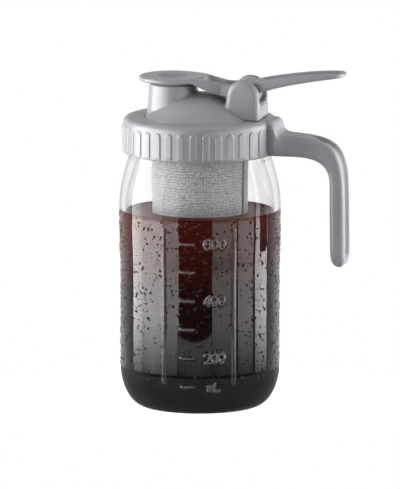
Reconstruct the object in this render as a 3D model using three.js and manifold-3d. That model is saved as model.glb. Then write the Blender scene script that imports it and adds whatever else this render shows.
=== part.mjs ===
// Cold brew coffee maker: a wide-mouth glass jar, a screw lid with a side handle and a pouring spout,
// a rocking cap worked by a thumb lever, and a steel filter basket that hangs in the mouth.
// Millimetres, +Z up, origin on the jar's axis at its base. The handle points to +X, the spout to -X.
import * as THREE from "three";
import { mergeVertices, toCreasedNormals } from "three/addons/utils/BufferGeometryUtils.js";
import Module from "manifold-3d";

const wasm = await Module();
wasm.setup();

// Fits
const seatGap = 0.3;
const overrun = 0.4;

// Jar, from the base up
const jarHeight = 170;
const jarBodyRadius = 47.9;
const jarBodySwell = 0.7;
const jarSwellShares = [[0.672, 0], [0.762, 0.57]];
const jarCornerReach = 14.9;
const jarCornerRise = 25;
const shoulderHeight = 29.5;
const shoulderEaseShare = 0.36;
const shoulderPullShares = [0.52, 0.68];
const neckStep = 1.7;
const neckBandHeight = 4.1;
const finishBevel = 1.6;
const finishHeight = 12.8;
const finishRadius = 41.3;
const finishWall = 3.4;
const lipRound = 1.3;
const glassWall = 3.7;
const jarFloor = 6.5;
const floorCrown = 1.2;
const innerCornerRise = 19;

// Scale on the glass, at the front of the jar, its heights as shares of the jar's body
const scaleRise = 0.5;
const scaleSeat = 1.5;
const scaleRibAngles = [-104.2, -52.7];
const scaleRibWidth = 1.6;
const scaleRibShares = [0.172, 0.926];
const scaleTickAngle = -86.7;
const scaleTickWidth = 8.6;
const scaleTickHeight = 2;
const scaleTickShares = [0.152, 0.295, 0.439, 0.582, 0.725, 0.865];

// Screw thread, right-handed, shared by the jar and the lid
const threadPitch = 5.08;
const threadTurns = 1.15;
const threadDrop = 10;
const threadFadeShare = 0.06;
const threadRootWidth = 2.4;
const threadCrestWidth = 1.2;
const threadRise = 1.6;
const threadPlay = 0.5;

// Filter basket
const steelThickness = 0.8;
const pressRound = 1.2;
const dishPlay = 0.7;
const dishDepth = 7;
const meshRadius = 28.8;
const meshWall = 0.6;
const meshTopInset = 1.4;
const meshFootInset = 1.2;
const neckDepth = 9;
const basketLift = 3.5;
const cupRise = 9;
const seamAngle = -12;
const seamWidth = 5;
const seamThickness = 0.5;

// Lid gasket
const gasketThickness = 2;
const gasketPlay = 0.7;

// Lid collar
const skirtWall = 2.9;
const skirtDepth = 15.6;
const collarShoulderRound = 3.6;
const collarFootRound = 1;
const ringThickness = 2.4;
const ledgeWidth = 13.3;
const ribCount = 38;
const ribWidth = 4.6;
const ribRise = 0.6;
const ribTurn = -2;
const ribFootInset = 1.4;
const ribTopInset = 0.9;
const handleRootAngle = 19;

// Handle, from the collar's side out and from its top down: the points of its outer and inner faces
// are shares of the reach and the drop, and its width there is a share of the grip's
const handleReach = 44.4;
const handleDrop = 88.1;
const handleHalfWidth = 9.5;
const handleStationShares = [
  { outer: [-0.063, 0.001], inner: [-0.054, 0.241], half: 1.516 },
  { outer: [0.011, 0.009], inner: [0.014, 0.242], half: 1.495 },
  { outer: [0.052, 0.032], inner: [0.052, 0.243], half: 1.463 },
  { outer: [0.074, 0.066], inner: [0.074, 0.243], half: 1.432 },
  { outer: [0.119, 0.092], inner: [0.119, 0.244], half: 1.368 },
  { outer: [0.196, 0.102], inner: [0.191, 0.245], half: 1.263 },
  { outer: [0.338, 0.107], inner: [0.313, 0.247], half: 1.126 },
  { outer: [0.489, 0.115], inner: [0.435, 0.253], half: 1.042 },
  { outer: [0.642, 0.131], inner: [0.547, 0.264], half: 1.011 },
  { outer: [0.775, 0.16], inner: [0.644, 0.285], half: 1 },
  { outer: [0.876, 0.208], inner: [0.716, 0.317], half: 1 },
  { outer: [0.939, 0.275], inner: [0.761, 0.355], half: 1 },
  { outer: [0.975, 0.359], inner: [0.782, 0.404], half: 1 },
  { outer: [0.991, 0.467], inner: [0.786, 0.489], half: 1 },
  { outer: [0.998, 0.694], inner: [0.788, 0.699], half: 0.989 },
  { outer: [1, 0.892], inner: [0.795, 0.894], half: 0.979 },
  { outer: [0.991, 0.952], inner: [0.809, 0.952], half: 0.947 },
  { outer: [0.968, 0.986], inner: [0.84, 0.986], half: 0.842 },
  { outer: [0.939, 1], inner: [0.887, 1], half: 0.653 },
];
const handleCornerShare = 0.3;
const handleThinShare = 0.9;
const handleChannelDepth = 2;
const handleChannelSlope = 1.2;
const handleChannelShare = 0.66;
const handleChannelFirst = 7;
const handleChannelLast = 15;

// Dome and spout
const domeRise = 14.7;
const domeRingShares = [0.84, 0.64, 0.42, 0.2, 0];
const domeHollowShares = [1, 0.64, 0.3, 0];
const domeWall = 2.2;
const domeFlangeLap = 3.6;
const domeFlangeClear = 0.5;
const spoutRise = 19.7;
const spoutInset = 0.4;
const spoutFootRadius = 16.2;
const spoutTaper = 1.8;
const spoutLipRound = 0.8;
const spoutTopWall = 2.5;
const spoutFootWall = 3;

// Hinge ears and the panel behind them
const hingeInset = 4;
const hingeRise = 14.3;
const earRadius = 10;
const earThickness = 4.2;
const earPlay = 0.7;
const hubPlay = 0.5;
const earFootFront = 13.2;
const earRound = 3.2;
const panelThickness = 3.1;
const panelDrop = 4;
const panelNotchShares = [-0.53, 0, 0.53];
const panelNotchWidth = 3;
const panelNotchDepth = 2.4;
const stubRadius = 2.4;
const stubReach = 2.2;

// Rocking cap and thumb lever: a plate over the spout, an arm, a hub between the ears, and a lever over
// the handle. The top line runs in shares from the hinge to the plate's middle, and to the lever's tip.
// The under lines run in shares from the hub's sides to the spout's lip, and to the lever's tip
const plateOffset = 0.5;
const plateRadius = 20.3;
const plateLift = 1.5;
const plateThickness = 3;
const plateEdgeRound = 1.4;
const thumbDishRadius = 9.7;
const thumbDishDepth = 1.7;
const thumbDishPitShare = 0.33;
const skirtRingPlay = 0.85;
const rockerHalfWidth = 9.6;
const rockerEdgeRound = 0.9;
const hubRadius = 7.6;
const hubArcFrom = 12;
const hubArcTo = -172;
const barrelArcFrom = 30;
const barrelArcTo = 165;
const leverLength = 61;
const leverRise = 15;
const leverTipRound = 7.5;
const armTopShares = [[0.806, 0.995], [0.632, 0.98], [0.458, 0.848], [0.24, 0.687], [0, 0.768]];
const leverTopShares = [[0.18, 0.653], [0.377, 0.793], [0.607, 0.92], [0.836, 0.987], [1.016, 1]];
const leverUnderShares = [[1.019, 0.867], [0.813, 0.76], [0.551, 0.6], [0.288, 0.4], [0.139, 0.253],
  [0.037, 0.153]];
const armUnderShares = [[0.124, -0.159], [0.274, -0.072], [0.53, 0.188], [0.786, 0.609], [0.957, 0.942],
  [1.107, 1.014]];
const flareStartShares = [0.35, 0.925];
const flareControlShares = [0.5, 1.4];
const flareEarPlay = 1.235;
const rockerRim = 2.6;
const channelDepth = 2.6;
const armChannelShares = { from: 0.599, to: 0.207, depthFrom: 0.115, depthTo: 0.846 };
const leverChannelShares = { from: 0.197, to: 0.902, depthFrom: 1, depthTo: 0.23 };

// Spout seal
const sealPlay = 0.45;
const sealTaper = 0.65;
const sealDepth = 3.5;
const sealWall = 2;
const sealWebThickness = 1.8;

// Fineness
const jarSegments = 48;
const lidSegments = 48;
const spoutSegments = 36;
const sealSegments = 24;
const filterSegments = 36;
const cornerSteps = 5;
const roundSteps = 3;
const ribRoundSteps = 3;
const channelSteps = 4;
const topLineSteps = 20;
const armUnderSteps = 7;
const leverUnderSteps = 9;
const mergeDistance = 0.0001;
const creaseAngle = 35;

// Heights and radii that follow from the sizes above
const degree = Math.PI / 180;
const rimZ = jarHeight;
const finishFootZ = rimZ - finishHeight;
const neckBandTopZ = finishFootZ - finishBevel;
const neckZ = neckBandTopZ - neckBandHeight;
const shoulderZ = neckZ - shoulderHeight;
const neckRadius = finishRadius + neckStep;
const shoulderRadius = jarBodyRadius + jarBodySwell;
const jarFlatRadius = jarBodyRadius - jarCornerReach;
const mouthRadius = finishRadius - finishWall;
const threadStartZ = rimZ - threadDrop;

const flangeFootZ = rimZ + seatGap;
const flangeTopZ = flangeFootZ + steelThickness;
const dishWallRadius = mouthRadius - dishPlay;
const dishFloorZ = rimZ - dishDepth;
const cupFloorZ = jarFloor + floorCrown + basketLift + steelThickness;

const gasketFootZ = flangeTopZ + seatGap;
const gasketTopZ = gasketFootZ + gasketThickness;
const ringFootZ = gasketTopZ + seatGap;
const collarTopZ = ringFootZ + ringThickness;
const collarBottomZ = rimZ - skirtDepth;
const skirtRadius = finishRadius + threadRise + threadPlay;
const collarRadius = skirtRadius + skirtWall;

const domeFootRadius = collarRadius - ledgeWidth;
const domeInnerRadius = domeFootRadius - domeWall;
const domeFlangeRadius = domeFootRadius + domeFlangeLap;
const domeFlangeFootZ = flangeTopZ + domeFlangeClear;
const domeApexZ = collarTopZ + domeRise;
const spoutX = spoutFootRadius + spoutInset - domeFootRadius;
const spoutTopZ = collarTopZ + spoutRise;
const spoutTopRadius = spoutFootRadius - spoutTaper;
const spoutLipX = spoutX + spoutTopRadius;
const boreTopRadius = spoutTopRadius - spoutTopWall;
const boreFootRadius = spoutFootRadius - spoutFootWall;

const hingeX = domeFootRadius - hingeInset;
const hingeZ = collarTopZ + hingeRise;
const earInnerY = rockerHalfWidth + earPlay;
const earOuterY = earInnerY + earThickness;
const panelInnerX = hingeX + hubRadius;
const earBackX = panelInnerX + panelThickness;
const panelTopZ = hingeZ - panelDrop;

const sealRadius = boreTopRadius - sealPlay;
const skirtRingInner = sealRadius + skirtRingPlay;
const plateX = spoutX - plateOffset;
const plateUnderZ = spoutTopZ + plateLift;
const plateTopZ = plateUnderZ + plateThickness;
const leverTipX = hingeX + leverLength;
const leverTopZ = hingeZ + leverRise;

// Materials
function material(name, color, roughness, metalness) {
  return new THREE.MeshStandardMaterial({ name, color, roughness, metalness });
}

const glass = material("clear glass", 0xdfe6e4, 0.06, 0);
glass.transparent = true;
glass.opacity = 0.35;
const plastic = material("grey plastic", 0x97979a, 0.38, 0);
const silicone = material("white silicone", 0xe4e4e2, 0.6, 0);
const steel = material("stainless steel", 0xb9bbbd, 0.28, 1);
const meshSteel = material("steel mesh", 0xa9abac, 0.5, 0.9);

// Closed geometry with shared corners and no collapsed triangle
function weld(source) {
  const geometry = source.clone();
  for (const name of ["normal", "uv"]) geometry.deleteAttribute(name);
  const merged = mergeVertices(geometry, mergeDistance);
  const kept = [];
  for (let i = 0; i < merged.index.count; i += 3) {
    const corners = [0, 1, 2].map((k) => merged.index.getX(i + k));
    if (new Set(corners).size === 3) kept.push(...corners);
  }
  merged.setIndex(kept);
  return merged;
}

function signedVolume({ index, attributes }) {
  const corner = [new THREE.Vector3(), new THREE.Vector3(), new THREE.Vector3()];
  let volume = 0;
  for (let i = 0; i < index.count; i += 3) {
    corner.forEach((point, k) => point.fromBufferAttribute(attributes.position, index.getX(i + k)));
    volume += corner[0].dot(corner[1].cross(corner[2])) / 6;
  }
  return volume;
}

function toSolid(source) {
  const geometry = weld(source);
  const triangles = Uint32Array.from(geometry.index.array);
  if (signedVolume(geometry) < 0) {
    for (let i = 0; i < triangles.length; i += 3) {
      [triangles[i], triangles[i + 1]] = [triangles[i + 1], triangles[i]];
    }
  }
  const vertices = Float32Array.from(geometry.attributes.position.array);
  return new wasm.Manifold(new wasm.Mesh({ numProp: 3, vertProperties: vertices, triVerts: triangles }));
}

function toMesh(name, solid, look) {
  const { vertProperties, triVerts } = solid.getMesh();
  const geometry = new THREE.BufferGeometry();
  geometry.setAttribute("position", new THREE.BufferAttribute(vertProperties, 3));
  geometry.setIndex(new THREE.BufferAttribute(triVerts, 1));
  const mesh = new THREE.Mesh(toCreasedNormals(geometry, creaseAngle * degree), look);
  mesh.name = name;
  return mesh;
}

// Point lists: [radius, height] or [x, z] pairs
function arc(centreX, centreZ, radiusX, radiusZ, from, to, steps) {
  return Array.from({ length: steps + 1 }, (_, i) => {
    const angle = (from + ((to - from) * i) / steps) * degree;
    return [centreX + radiusX * Math.cos(angle), centreZ + radiusZ * Math.sin(angle)];
  });
}

function bezier(points, steps) {
  const curve = new THREE.CubicBezierCurve(...points.map(([x, z]) => new THREE.Vector2(x, z)));
  return curve.getPoints(steps).map((point) => [point.x, point.y]);
}

function spline(points, steps) {
  const curve = new THREE.SplineCurve(points.map(([x, z]) => new THREE.Vector2(x, z)));
  return curve.getPoints(steps).map((point) => [point.x, point.y]);
}

// Second value of a line of pairs where its first value is x
function valueOn(line, x) {
  const after = Math.max(1, line.findIndex(([lineX]) => lineX >= x));
  const [[x0, z0], [x1, z1]] = [line[after - 1], line[after]];
  return z0 + ((z1 - z0) * (x - x0)) / (x1 - x0);
}

function between(from, to, share) {
  return from + (to - from) * share;
}

function closed(points) {
  return [...points, points[0]];
}

// Solid of revolution about a vertical line at x
function revolve(points, segments, x = 0) {
  const profile = points.map(([radius, z]) => new THREE.Vector2(radius, z));
  const geometry = new THREE.LatheGeometry(profile, segments);
  geometry.rotateX(Math.PI / 2);
  geometry.translate(x, 0, 0);
  return toSolid(geometry);
}

// Flat ring or tube with square corners
function ringSolid([inner, outer], [footZ, topZ], segments, x = 0) {
  return revolve(closed([[inner, footZ], [outer, footZ], [outer, topZ], [inner, topZ]]), segments, x);
}

function flatShape(points) {
  return new THREE.Shape(points.map(([x, y]) => new THREE.Vector2(x, y)));
}

// Side view outline in XZ, drawn out across Y to both sides, its edges rounded by round
function acrossY(points, halfWidth, round = 0) {
  const geometry = new THREE.ExtrudeGeometry(flatShape(points), {
    depth: 2 * (halfWidth - round), steps: 1, bevelEnabled: round > 0,
    bevelThickness: round, bevelSize: round, bevelOffset: -round, bevelSegments: roundSteps - 1,
  });
  geometry.rotateX(Math.PI / 2);
  geometry.translate(0, halfWidth - round, 0);
  return toSolid(geometry);
}

// Plan outline in XY, drawn upwards
function upZ(points, fromZ, toZ) {
  const geometry = new THREE.ExtrudeGeometry(flatShape(points), { depth: toZ - fromZ, bevelEnabled: false });
  geometry.translate(0, 0, fromZ);
  return toSolid(geometry);
}

function box([fromX, toX], [fromY, toY], [fromZ, toZ]) {
  const geometry = new THREE.BoxGeometry(toX - fromX, toY - fromY, toZ - fromZ);
  geometry.translate((fromX + toX) / 2, (fromY + toY) / 2, (fromZ + toZ) / 2);
  return toSolid(geometry);
}

// Skin through a row of sections that have the same number of corners, closed by a face at each end
function loft(sections) {
  const count = sections[0].length;
  const positions = sections.flat().flatMap((point) => point.toArray());
  const index = [];
  for (let row = 0; row < sections.length - 1; row += 1) {
    for (let k = 0; k < count; k += 1) {
      const a = row * count + k;
      const b = row * count + ((k + 1) % count);
      index.push(a, b, b + count, a, b + count, a + count);
    }
  }
  const last = (sections.length - 1) * count;
  for (let k = 1; k < count - 1; k += 1) {
    index.push(0, k + 1, k, last, last + k, last + k + 1);
  }
  const geometry = new THREE.BufferGeometry();
  geometry.setAttribute("position", new THREE.Float32BufferAttribute(positions, 3));
  geometry.setIndex(index);
  return toSolid(geometry);
}

// Helical ridge on a wall: it stands out of wallRadius by rise, inwards where rise is negative
function threadRidge(wallRadius, rise, startZ) {
  const steps = Math.round(threadTurns * lidSegments);
  const side = Math.sign(rise);
  const sections = Array.from({ length: steps + 1 }, (_, i) => {
    const share = i / steps;
    const angle = share * threadTurns * 2 * Math.PI;
    const fade = Math.min(1, share / threadFadeShare, (1 - share) / threadFadeShare);
    const crest = wallRadius + side * (fade * (Math.abs(rise) + overrun / 2) - overrun / 2);
    const root = wallRadius - side * overrun;
    const middleZ = startZ + share * threadTurns * threadPitch;
    const corners = [[root, -threadRootWidth / 2], [crest, -threadCrestWidth / 2],
      [crest, threadCrestWidth / 2], [root, threadRootWidth / 2]];
    return corners.map(([radius, dz]) => (
      new THREE.Vector3(radius * Math.cos(angle), radius * Math.sin(angle), middleZ + dz)));
  });
  return loft(sections);
}

// Upright bar on a round wall, seated into it, facing out at the given angle, its upper end rounded
function wallBar(wallRadius, rise, seat, angle, width, [footZ, topZ], endRound = 0) {
  const half = width / 2;
  const top = endRound > 0
    ? arc(0, topZ - endRound, half, endRound, 0, 180, ribRoundSteps)
    : [[half, topZ], [-half, topZ]];
  const geometry = new THREE.ExtrudeGeometry(flatShape([[-half, footZ], [half, footZ], ...top]), {
    depth: rise + seat, bevelEnabled: false,
  });
  geometry.rotateX(Math.PI / 2);
  geometry.translate(0, seat - wallRadius, 0);
  geometry.rotateZ((angle + 90) * degree);
  return toSolid(geometry);
}

// Glass jar
function jarSwellPoints() {
  return jarSwellShares.map(([up, out]) => [jarBodyRadius + out * jarBodySwell, up * shoulderZ]);
}

function jarOuterLine() {
  const [pullShare, pullRiseShare] = shoulderPullShares;
  const shoulder = bezier([
    [shoulderRadius, shoulderZ],
    [shoulderRadius, shoulderZ + shoulderEaseShare * shoulderHeight],
    [between(neckRadius, shoulderRadius, pullShare), shoulderZ + pullRiseShare * shoulderHeight],
    [neckRadius, neckZ],
  ], cornerSteps);
  return [
    [0, 0],
    ...arc(jarFlatRadius, jarCornerRise, jarCornerReach, jarCornerRise, -90, 0, cornerSteps),
    ...jarSwellPoints(),
    ...shoulder,
    [neckRadius, neckBandTopZ],
    [finishRadius, finishFootZ],
    ...arc(finishRadius - lipRound, rimZ - lipRound, lipRound, lipRound, 0, 90, roundSteps),
  ];
}

function jarInnerLine() {
  const [pullShare, pullRiseShare] = shoulderPullShares;
  const bodyInside = jarBodyRadius - glassWall;
  const shoulderInside = shoulderRadius - glassWall;
  const floorRadius = jarFlatRadius - glassWall / 2;
  const corner = arc(floorRadius, jarFloor + innerCornerRise, bodyInside - floorRadius, innerCornerRise,
    0, -90, cornerSteps);
  const shoulder = bezier([
    [mouthRadius, neckZ],
    [between(mouthRadius, shoulderInside, pullShare),
      shoulderZ + pullRiseShare * shoulderHeight - glassWall / 2],
    [shoulderInside, shoulderZ + shoulderEaseShare * shoulderHeight],
    [shoulderInside, shoulderZ - glassWall / 2],
  ], cornerSteps);
  return [
    ...arc(mouthRadius + lipRound, rimZ - lipRound, lipRound, lipRound, 90, 180, roundSteps),
    ...shoulder,
    ...corner,
    [0, jarFloor + floorCrown],
  ];
}

function jarRadiusAt(z) {
  return valueOn(jarOuterLine().slice(1).map(([radius, height]) => [height, radius]), z);
}

function glassJar() {
  let jar = revolve([...jarOuterLine(), ...jarInnerLine()], jarSegments);
  jar = jar.add(threadRidge(finishRadius, threadRise, threadStartZ));
  const ribSpan = scaleRibShares.map((share) => share * shoulderZ);
  const ribWallRadius = jarBodyRadius + jarBodySwell / 2;
  for (const angle of scaleRibAngles) {
    jar = jar.add(wallBar(ribWallRadius, scaleRise, scaleSeat, angle, scaleRibWidth, ribSpan));
  }
  for (const share of scaleTickShares) {
    const z = share * shoulderZ;
    const span = [z - scaleTickHeight / 2, z + scaleTickHeight / 2];
    jar = jar.add(wallBar(jarRadiusAt(z), scaleRise, scaleSeat, scaleTickAngle, scaleTickWidth, span));
  }
  return toMesh("glass_jar", jar, glass);
}

// Handle section: a rounded four-sided outline with a channel along its outer face
function handleSection(station, channel) {
  const place = ([outShare, downShare]) => new THREE.Vector3(
    collarRadius + outShare * handleReach, 0, collarTopZ - downShare * handleDrop);
  const out = place(station.outer);
  const into = place(station.inner);
  const half = station.half * handleHalfWidth;
  const middle = out.clone().add(into).multiplyScalar(0.5);
  const normal = out.clone().sub(into).multiplyScalar(0.5);
  const depth = normal.length();
  normal.normalize();
  const round = Math.min(handleCornerShare * half, handleThinShare * depth);
  const corner = (signY, signN, from) => arc(signY * (half - round), signN * (depth - round), round, round,
    from, from + 90, roundSteps);
  const edge = handleChannelShare * half;
  const floor = edge - channel * handleChannelSlope;
  const outline = [
    ...corner(1, -1, -90),
    ...corner(1, 1, 0),
    [edge, depth],
    [floor, depth - channel],
    [-floor, depth - channel],
    [-edge, depth],
    ...corner(-1, 1, 90),
    ...corner(-1, -1, 180),
  ];
  return outline.map(([y, n]) => middle.clone().addScaledVector(normal, n).add(new THREE.Vector3(0, y, 0)));
}

function handle() {
  const sections = handleStationShares.map((station, i) => {
    const inChannel = i > handleChannelFirst && i < handleChannelLast;
    return handleSection(station, inChannel ? handleChannelDepth : 0);
  });
  return loft(sections);
}

// Lid collar
function collarLine() {
  return closed([
    ...arc(collarRadius - collarFootRound, collarBottomZ + collarFootRound, collarFootRound, collarFootRound,
      -90, 0, roundSteps - 1),
    ...arc(collarRadius - collarShoulderRound, collarTopZ - collarShoulderRound, collarShoulderRound,
      collarShoulderRound, 0, 90, roundSteps + 1),
    [domeFootRadius + seatGap, collarTopZ],
    [domeFootRadius + seatGap, ringFootZ],
    [skirtRadius, ringFootZ],
    [skirtRadius, collarBottomZ],
  ]);
}

function lidCollar() {
  const insideRadius = skirtRadius + overrun;
  const inside = revolve([[0, 0], [insideRadius, 0], [insideRadius, collarTopZ + overrun],
    [0, collarTopZ + overrun]], lidSegments);
  let collar = revolve(collarLine(), lidSegments).add(handle().subtract(inside));
  const ribSpan = [collarBottomZ + ribFootInset, collarTopZ - collarShoulderRound - ribTopInset];
  for (let i = 0; i < ribCount; i += 1) {
    const angle = ((i + 0.5) * 360) / ribCount + ribTurn;
    if (Math.min(angle, 360 - angle) < handleRootAngle) continue;
    collar = collar.add(wallBar(collarRadius, ribRise, overrun, angle, ribWidth, ribSpan, ribWidth / 2));
  }
  collar = collar.add(threadRidge(skirtRadius, -threadRise, threadStartZ - threadPitch / 2));
  return toMesh("lid_collar", collar, plastic);
}

// Dome, its height falling with the square of the distance from its middle
function domeZ(radius) {
  return between(domeApexZ, collarTopZ, (radius / domeFootRadius) ** 2);
}

function domeOuterLine() {
  const rings = domeRingShares.map((share) => share * domeFootRadius);
  return [
    [0, ringFootZ - overrun],
    [domeFootRadius, ringFootZ - overrun],
    [domeFootRadius, collarTopZ],
    ...rings.map((radius) => [radius, domeZ(radius)]),
  ];
}

function domeHollow() {
  const footZ = domeFlangeFootZ - overrun;
  const rings = domeHollowShares.map((share) => share * domeInnerRadius);
  return revolve([
    [0, footZ],
    [domeInnerRadius, footZ],
    ...rings.map((radius) => [radius, domeZ(radius) - domeWall]),
  ], lidSegments);
}

function domeFlange() {
  return revolve([[0, domeFlangeFootZ], [domeFlangeRadius, domeFlangeFootZ], [domeFlangeRadius, gasketTopZ],
    [0, gasketTopZ]], lidSegments);
}

function spoutTube() {
  return revolve([
    [0, ringFootZ],
    [spoutFootRadius, ringFootZ],
    ...arc(spoutTopRadius - spoutLipRound, spoutTopZ - spoutLipRound, spoutLipRound, spoutLipRound,
      0, 90, roundSteps),
    [0, spoutTopZ],
  ], spoutSegments, spoutX);
}

function spoutBore() {
  const footZ = domeFlangeFootZ - overrun;
  return revolve([[0, footZ], [boreFootRadius, footZ], [boreTopRadius, spoutTopZ + overrun],
    [0, spoutTopZ + overrun]], spoutSegments, spoutX);
}

function hingeEars() {
  const outline = [
    [hingeX - earFootFront, ringFootZ],
    [earBackX, ringFootZ],
    ...arc(hingeX, hingeZ, earRadius, earRadius, 0, 180, 3 * roundSteps),
  ];
  const high = hingeZ + 2 * earRadius;
  const far = 2 * earBackX;
  const gapY = [-earInnerY, earInnerY];
  let ears = acrossY(outline, earOuterY, earRound);
  ears = ears.subtract(box([0, panelInnerX], gapY, [0, high]));
  ears = ears.subtract(box([0, far], gapY, [panelTopZ, high]));
  for (const share of panelNotchShares) {
    const y = share * earInnerY;
    const notchY = [y - panelNotchWidth / 2, y + panelNotchWidth / 2];
    ears = ears.subtract(box([panelInnerX - overrun, far], notchY, [panelTopZ - panelNotchDepth, high]));
  }
  const ringSpace = ringSolid([domeFootRadius, far], [0, collarTopZ + seatGap], lidSegments);
  return ears.subtract(ringSpace);
}

function crossCylinder(radius, halfLength) {
  const geometry = new THREE.CylinderGeometry(radius, radius, 2 * halfLength, spoutSegments / 2);
  geometry.translate(hingeX, 0, hingeZ);
  return toSolid(geometry);
}

function lidDome() {
  const sockets = crossCylinder(stubRadius + seatGap, earInnerY + stubReach + seatGap);
  const reliefRadius = hubRadius + hubPlay;
  const hubRelief = acrossY([
    [hingeX, hingeZ],
    ...arc(hingeX, hingeZ, reliefRadius, reliefRadius, -180, -90, 2 * roundSteps),
  ], earInnerY);
  const dome = revolve(domeOuterLine(), lidSegments)
    .add(domeFlange())
    .add(spoutTube())
    .add(hingeEars())
    .subtract(domeHollow())
    .subtract(spoutBore())
    .subtract(hubRelief)
    .subtract(sockets);
  return toMesh("lid_dome", dome, plastic);
}

// Rocking cap
function capPlate() {
  const round = plateEdgeRound;
  const rim = plateRadius - round;
  return revolve([
    [0, plateUnderZ],
    ...arc(rim, plateUnderZ + round, round, round, -90, 0, roundSteps),
    ...arc(rim, plateTopZ - round, round, round, 0, 90, roundSteps),
    [0, plateTopZ],
  ], spoutSegments, plateX);
}

function thumbDish() {
  const floorZ = plateTopZ - thumbDishDepth;
  const ballRadius = (thumbDishRadius ** 2 + thumbDishDepth ** 2) / (2 * thumbDishDepth);
  const reach = Math.asin(thumbDishRadius / ballRadius) / degree;
  return revolve([
    [0, floorZ],
    ...arc(0, floorZ + ballRadius, ballRadius, ballRadius, -90 + thumbDishPitShare * reach, -90 + reach, 2),
    [thumbDishRadius, plateTopZ + overrun],
    [0, plateTopZ + overrun],
  ], sealSegments, plateX);
}

function skirtRing() {
  return ringSolid([skirtRingInner, spoutTopRadius], [spoutTopZ + seatGap, plateUnderZ + overrun],
    spoutSegments, spoutX);
}

function linePoints(shares, [fromX, toX], toZ) {
  return shares.map(([along, up]) => [between(fromX, toX, along), between(hingeZ, toZ, up)]);
}

function rockerTopLine() {
  const arm = linePoints(armTopShares, [hingeX, plateX], plateTopZ);
  const lever = linePoints(leverTopShares, [hingeX, leverTipX], leverTopZ);
  return spline([...arm, ...lever], topLineSteps);
}

function rockerOutline() {
  const top = rockerTopLine().toReversed();
  const armUnder = linePoints(armUnderShares, [hingeX - hubRadius, spoutLipX], plateUnderZ).toReversed();
  const leverUnder = linePoints(leverUnderShares, [hingeX + hubRadius, leverTipX], leverTopZ);
  return [
    ...top,
    [top.at(-1)[0], armUnder[0][1]],
    ...spline(armUnder, armUnderSteps),
    ...arc(hingeX, hingeZ, hubRadius, hubRadius, hubArcTo, hubArcFrom, 4 * roundSteps),
    ...spline(leverUnder, leverUnderSteps).toReversed(),
  ];
}

// Plan view of the arm where it widens into the plate
function flarePlan() {
  const [startAlong, startAcross] = flareStartShares;
  const [controlAlong, controlAcross] = flareControlShares;
  const startX = plateX + startAlong * plateRadius;
  const endX = hingeX - earFootFront - flareEarPlay;
  const start = new THREE.Vector2(startX, startAcross * plateRadius);
  const control = new THREE.Vector2(between(startX, endX, controlAlong), controlAcross * rockerHalfWidth);
  const end = new THREE.Vector2(endX, rockerHalfWidth - rockerEdgeRound);
  const side = new THREE.QuadraticBezierCurve(start, control, end).getPoints(cornerSteps);
  return [...side.map(({ x, y }) => [x, -y]), ...side.toReversed().map(({ x, y }) => [x, y])];
}

// Plan view of the whole bar with the round end of the lever
function rockerPlan() {
  const width = rockerHalfWidth + overrun;
  const tip = leverTipX - leverTipRound;
  return [
    [plateX, -width],
    ...arc(tip, 0, leverTipRound, width, -90, 90, 3 * roundSteps),
    [plateX, width],
  ];
}

// Barrel over the hinge, level with the ears
function hingeBarrel() {
  const radius = earRadius - seatGap;
  const outline = arc(hingeX, hingeZ, radius, radius, barrelArcFrom, barrelArcTo, 2 * roundSteps);
  return acrossY(outline, rockerHalfWidth);
}

// Channel along the top of the bar, from one place to another, its depth changing on the way
function channelCut(toX, { from, to, depthFrom, depthTo }) {
  const topLine = rockerTopLine();
  const floor = Array.from({ length: channelSteps + 1 }, (_, i) => {
    const share = i / channelSteps;
    const x = between(hingeX, toX, between(from, to, share));
    return [x, valueOn(topLine, x) - channelDepth * between(depthFrom, depthTo, share)];
  });
  const above = plateTopZ + plateRadius;
  const last = floor[channelSteps][0];
  return acrossY([...floor, [last, above], [floor[0][0], above]], rockerHalfWidth - rockerRim);
}

function rockingCap() {
  const low = hingeZ - 2 * hubRadius;
  const high = plateTopZ + plateRadius;
  const bar = acrossY(rockerOutline(), rockerHalfWidth, rockerEdgeRound)
    .intersect(upZ(rockerPlan(), low, high))
    .subtract(channelCut(plateX, armChannelShares))
    .subtract(channelCut(leverTipX, leverChannelShares));
  const flare = acrossY(rockerOutline(), plateRadius)
    .intersect(upZ(flarePlan(), low, high))
    .subtract(channelCut(plateX, armChannelShares));
  const cap = bar
    .add(flare)
    .add(hingeBarrel())
    .add(capPlate())
    .subtract(thumbDish())
    .add(skirtRing())
    .add(crossCylinder(stubRadius, earInnerY + stubReach));
  return toMesh("rocking_cap", cap, plastic);
}

// Spout seal
function spoutSeal() {
  const topZ = plateUnderZ - seatGap;
  const footZ = spoutTopZ - sealDepth;
  const tipRadius = sealRadius - sealTaper;
  const seal = revolve([
    [0, topZ - sealWebThickness],
    [tipRadius - sealWall, topZ - sealWebThickness],
    [tipRadius - sealWall, footZ],
    [tipRadius, footZ],
    [sealRadius, spoutTopZ],
    [sealRadius, topZ],
    [0, topZ],
  ], sealSegments, spoutX);
  return toMesh("spout_seal", seal, silicone);
}

// Lid gasket
function lidGasket() {
  const radii = [domeFlangeRadius + gasketPlay, skirtRadius - gasketPlay];
  const ring = ringSolid(radii, [gasketFootZ, gasketTopZ], lidSegments);
  return toMesh("lid_gasket", ring, silicone);
}

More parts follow.
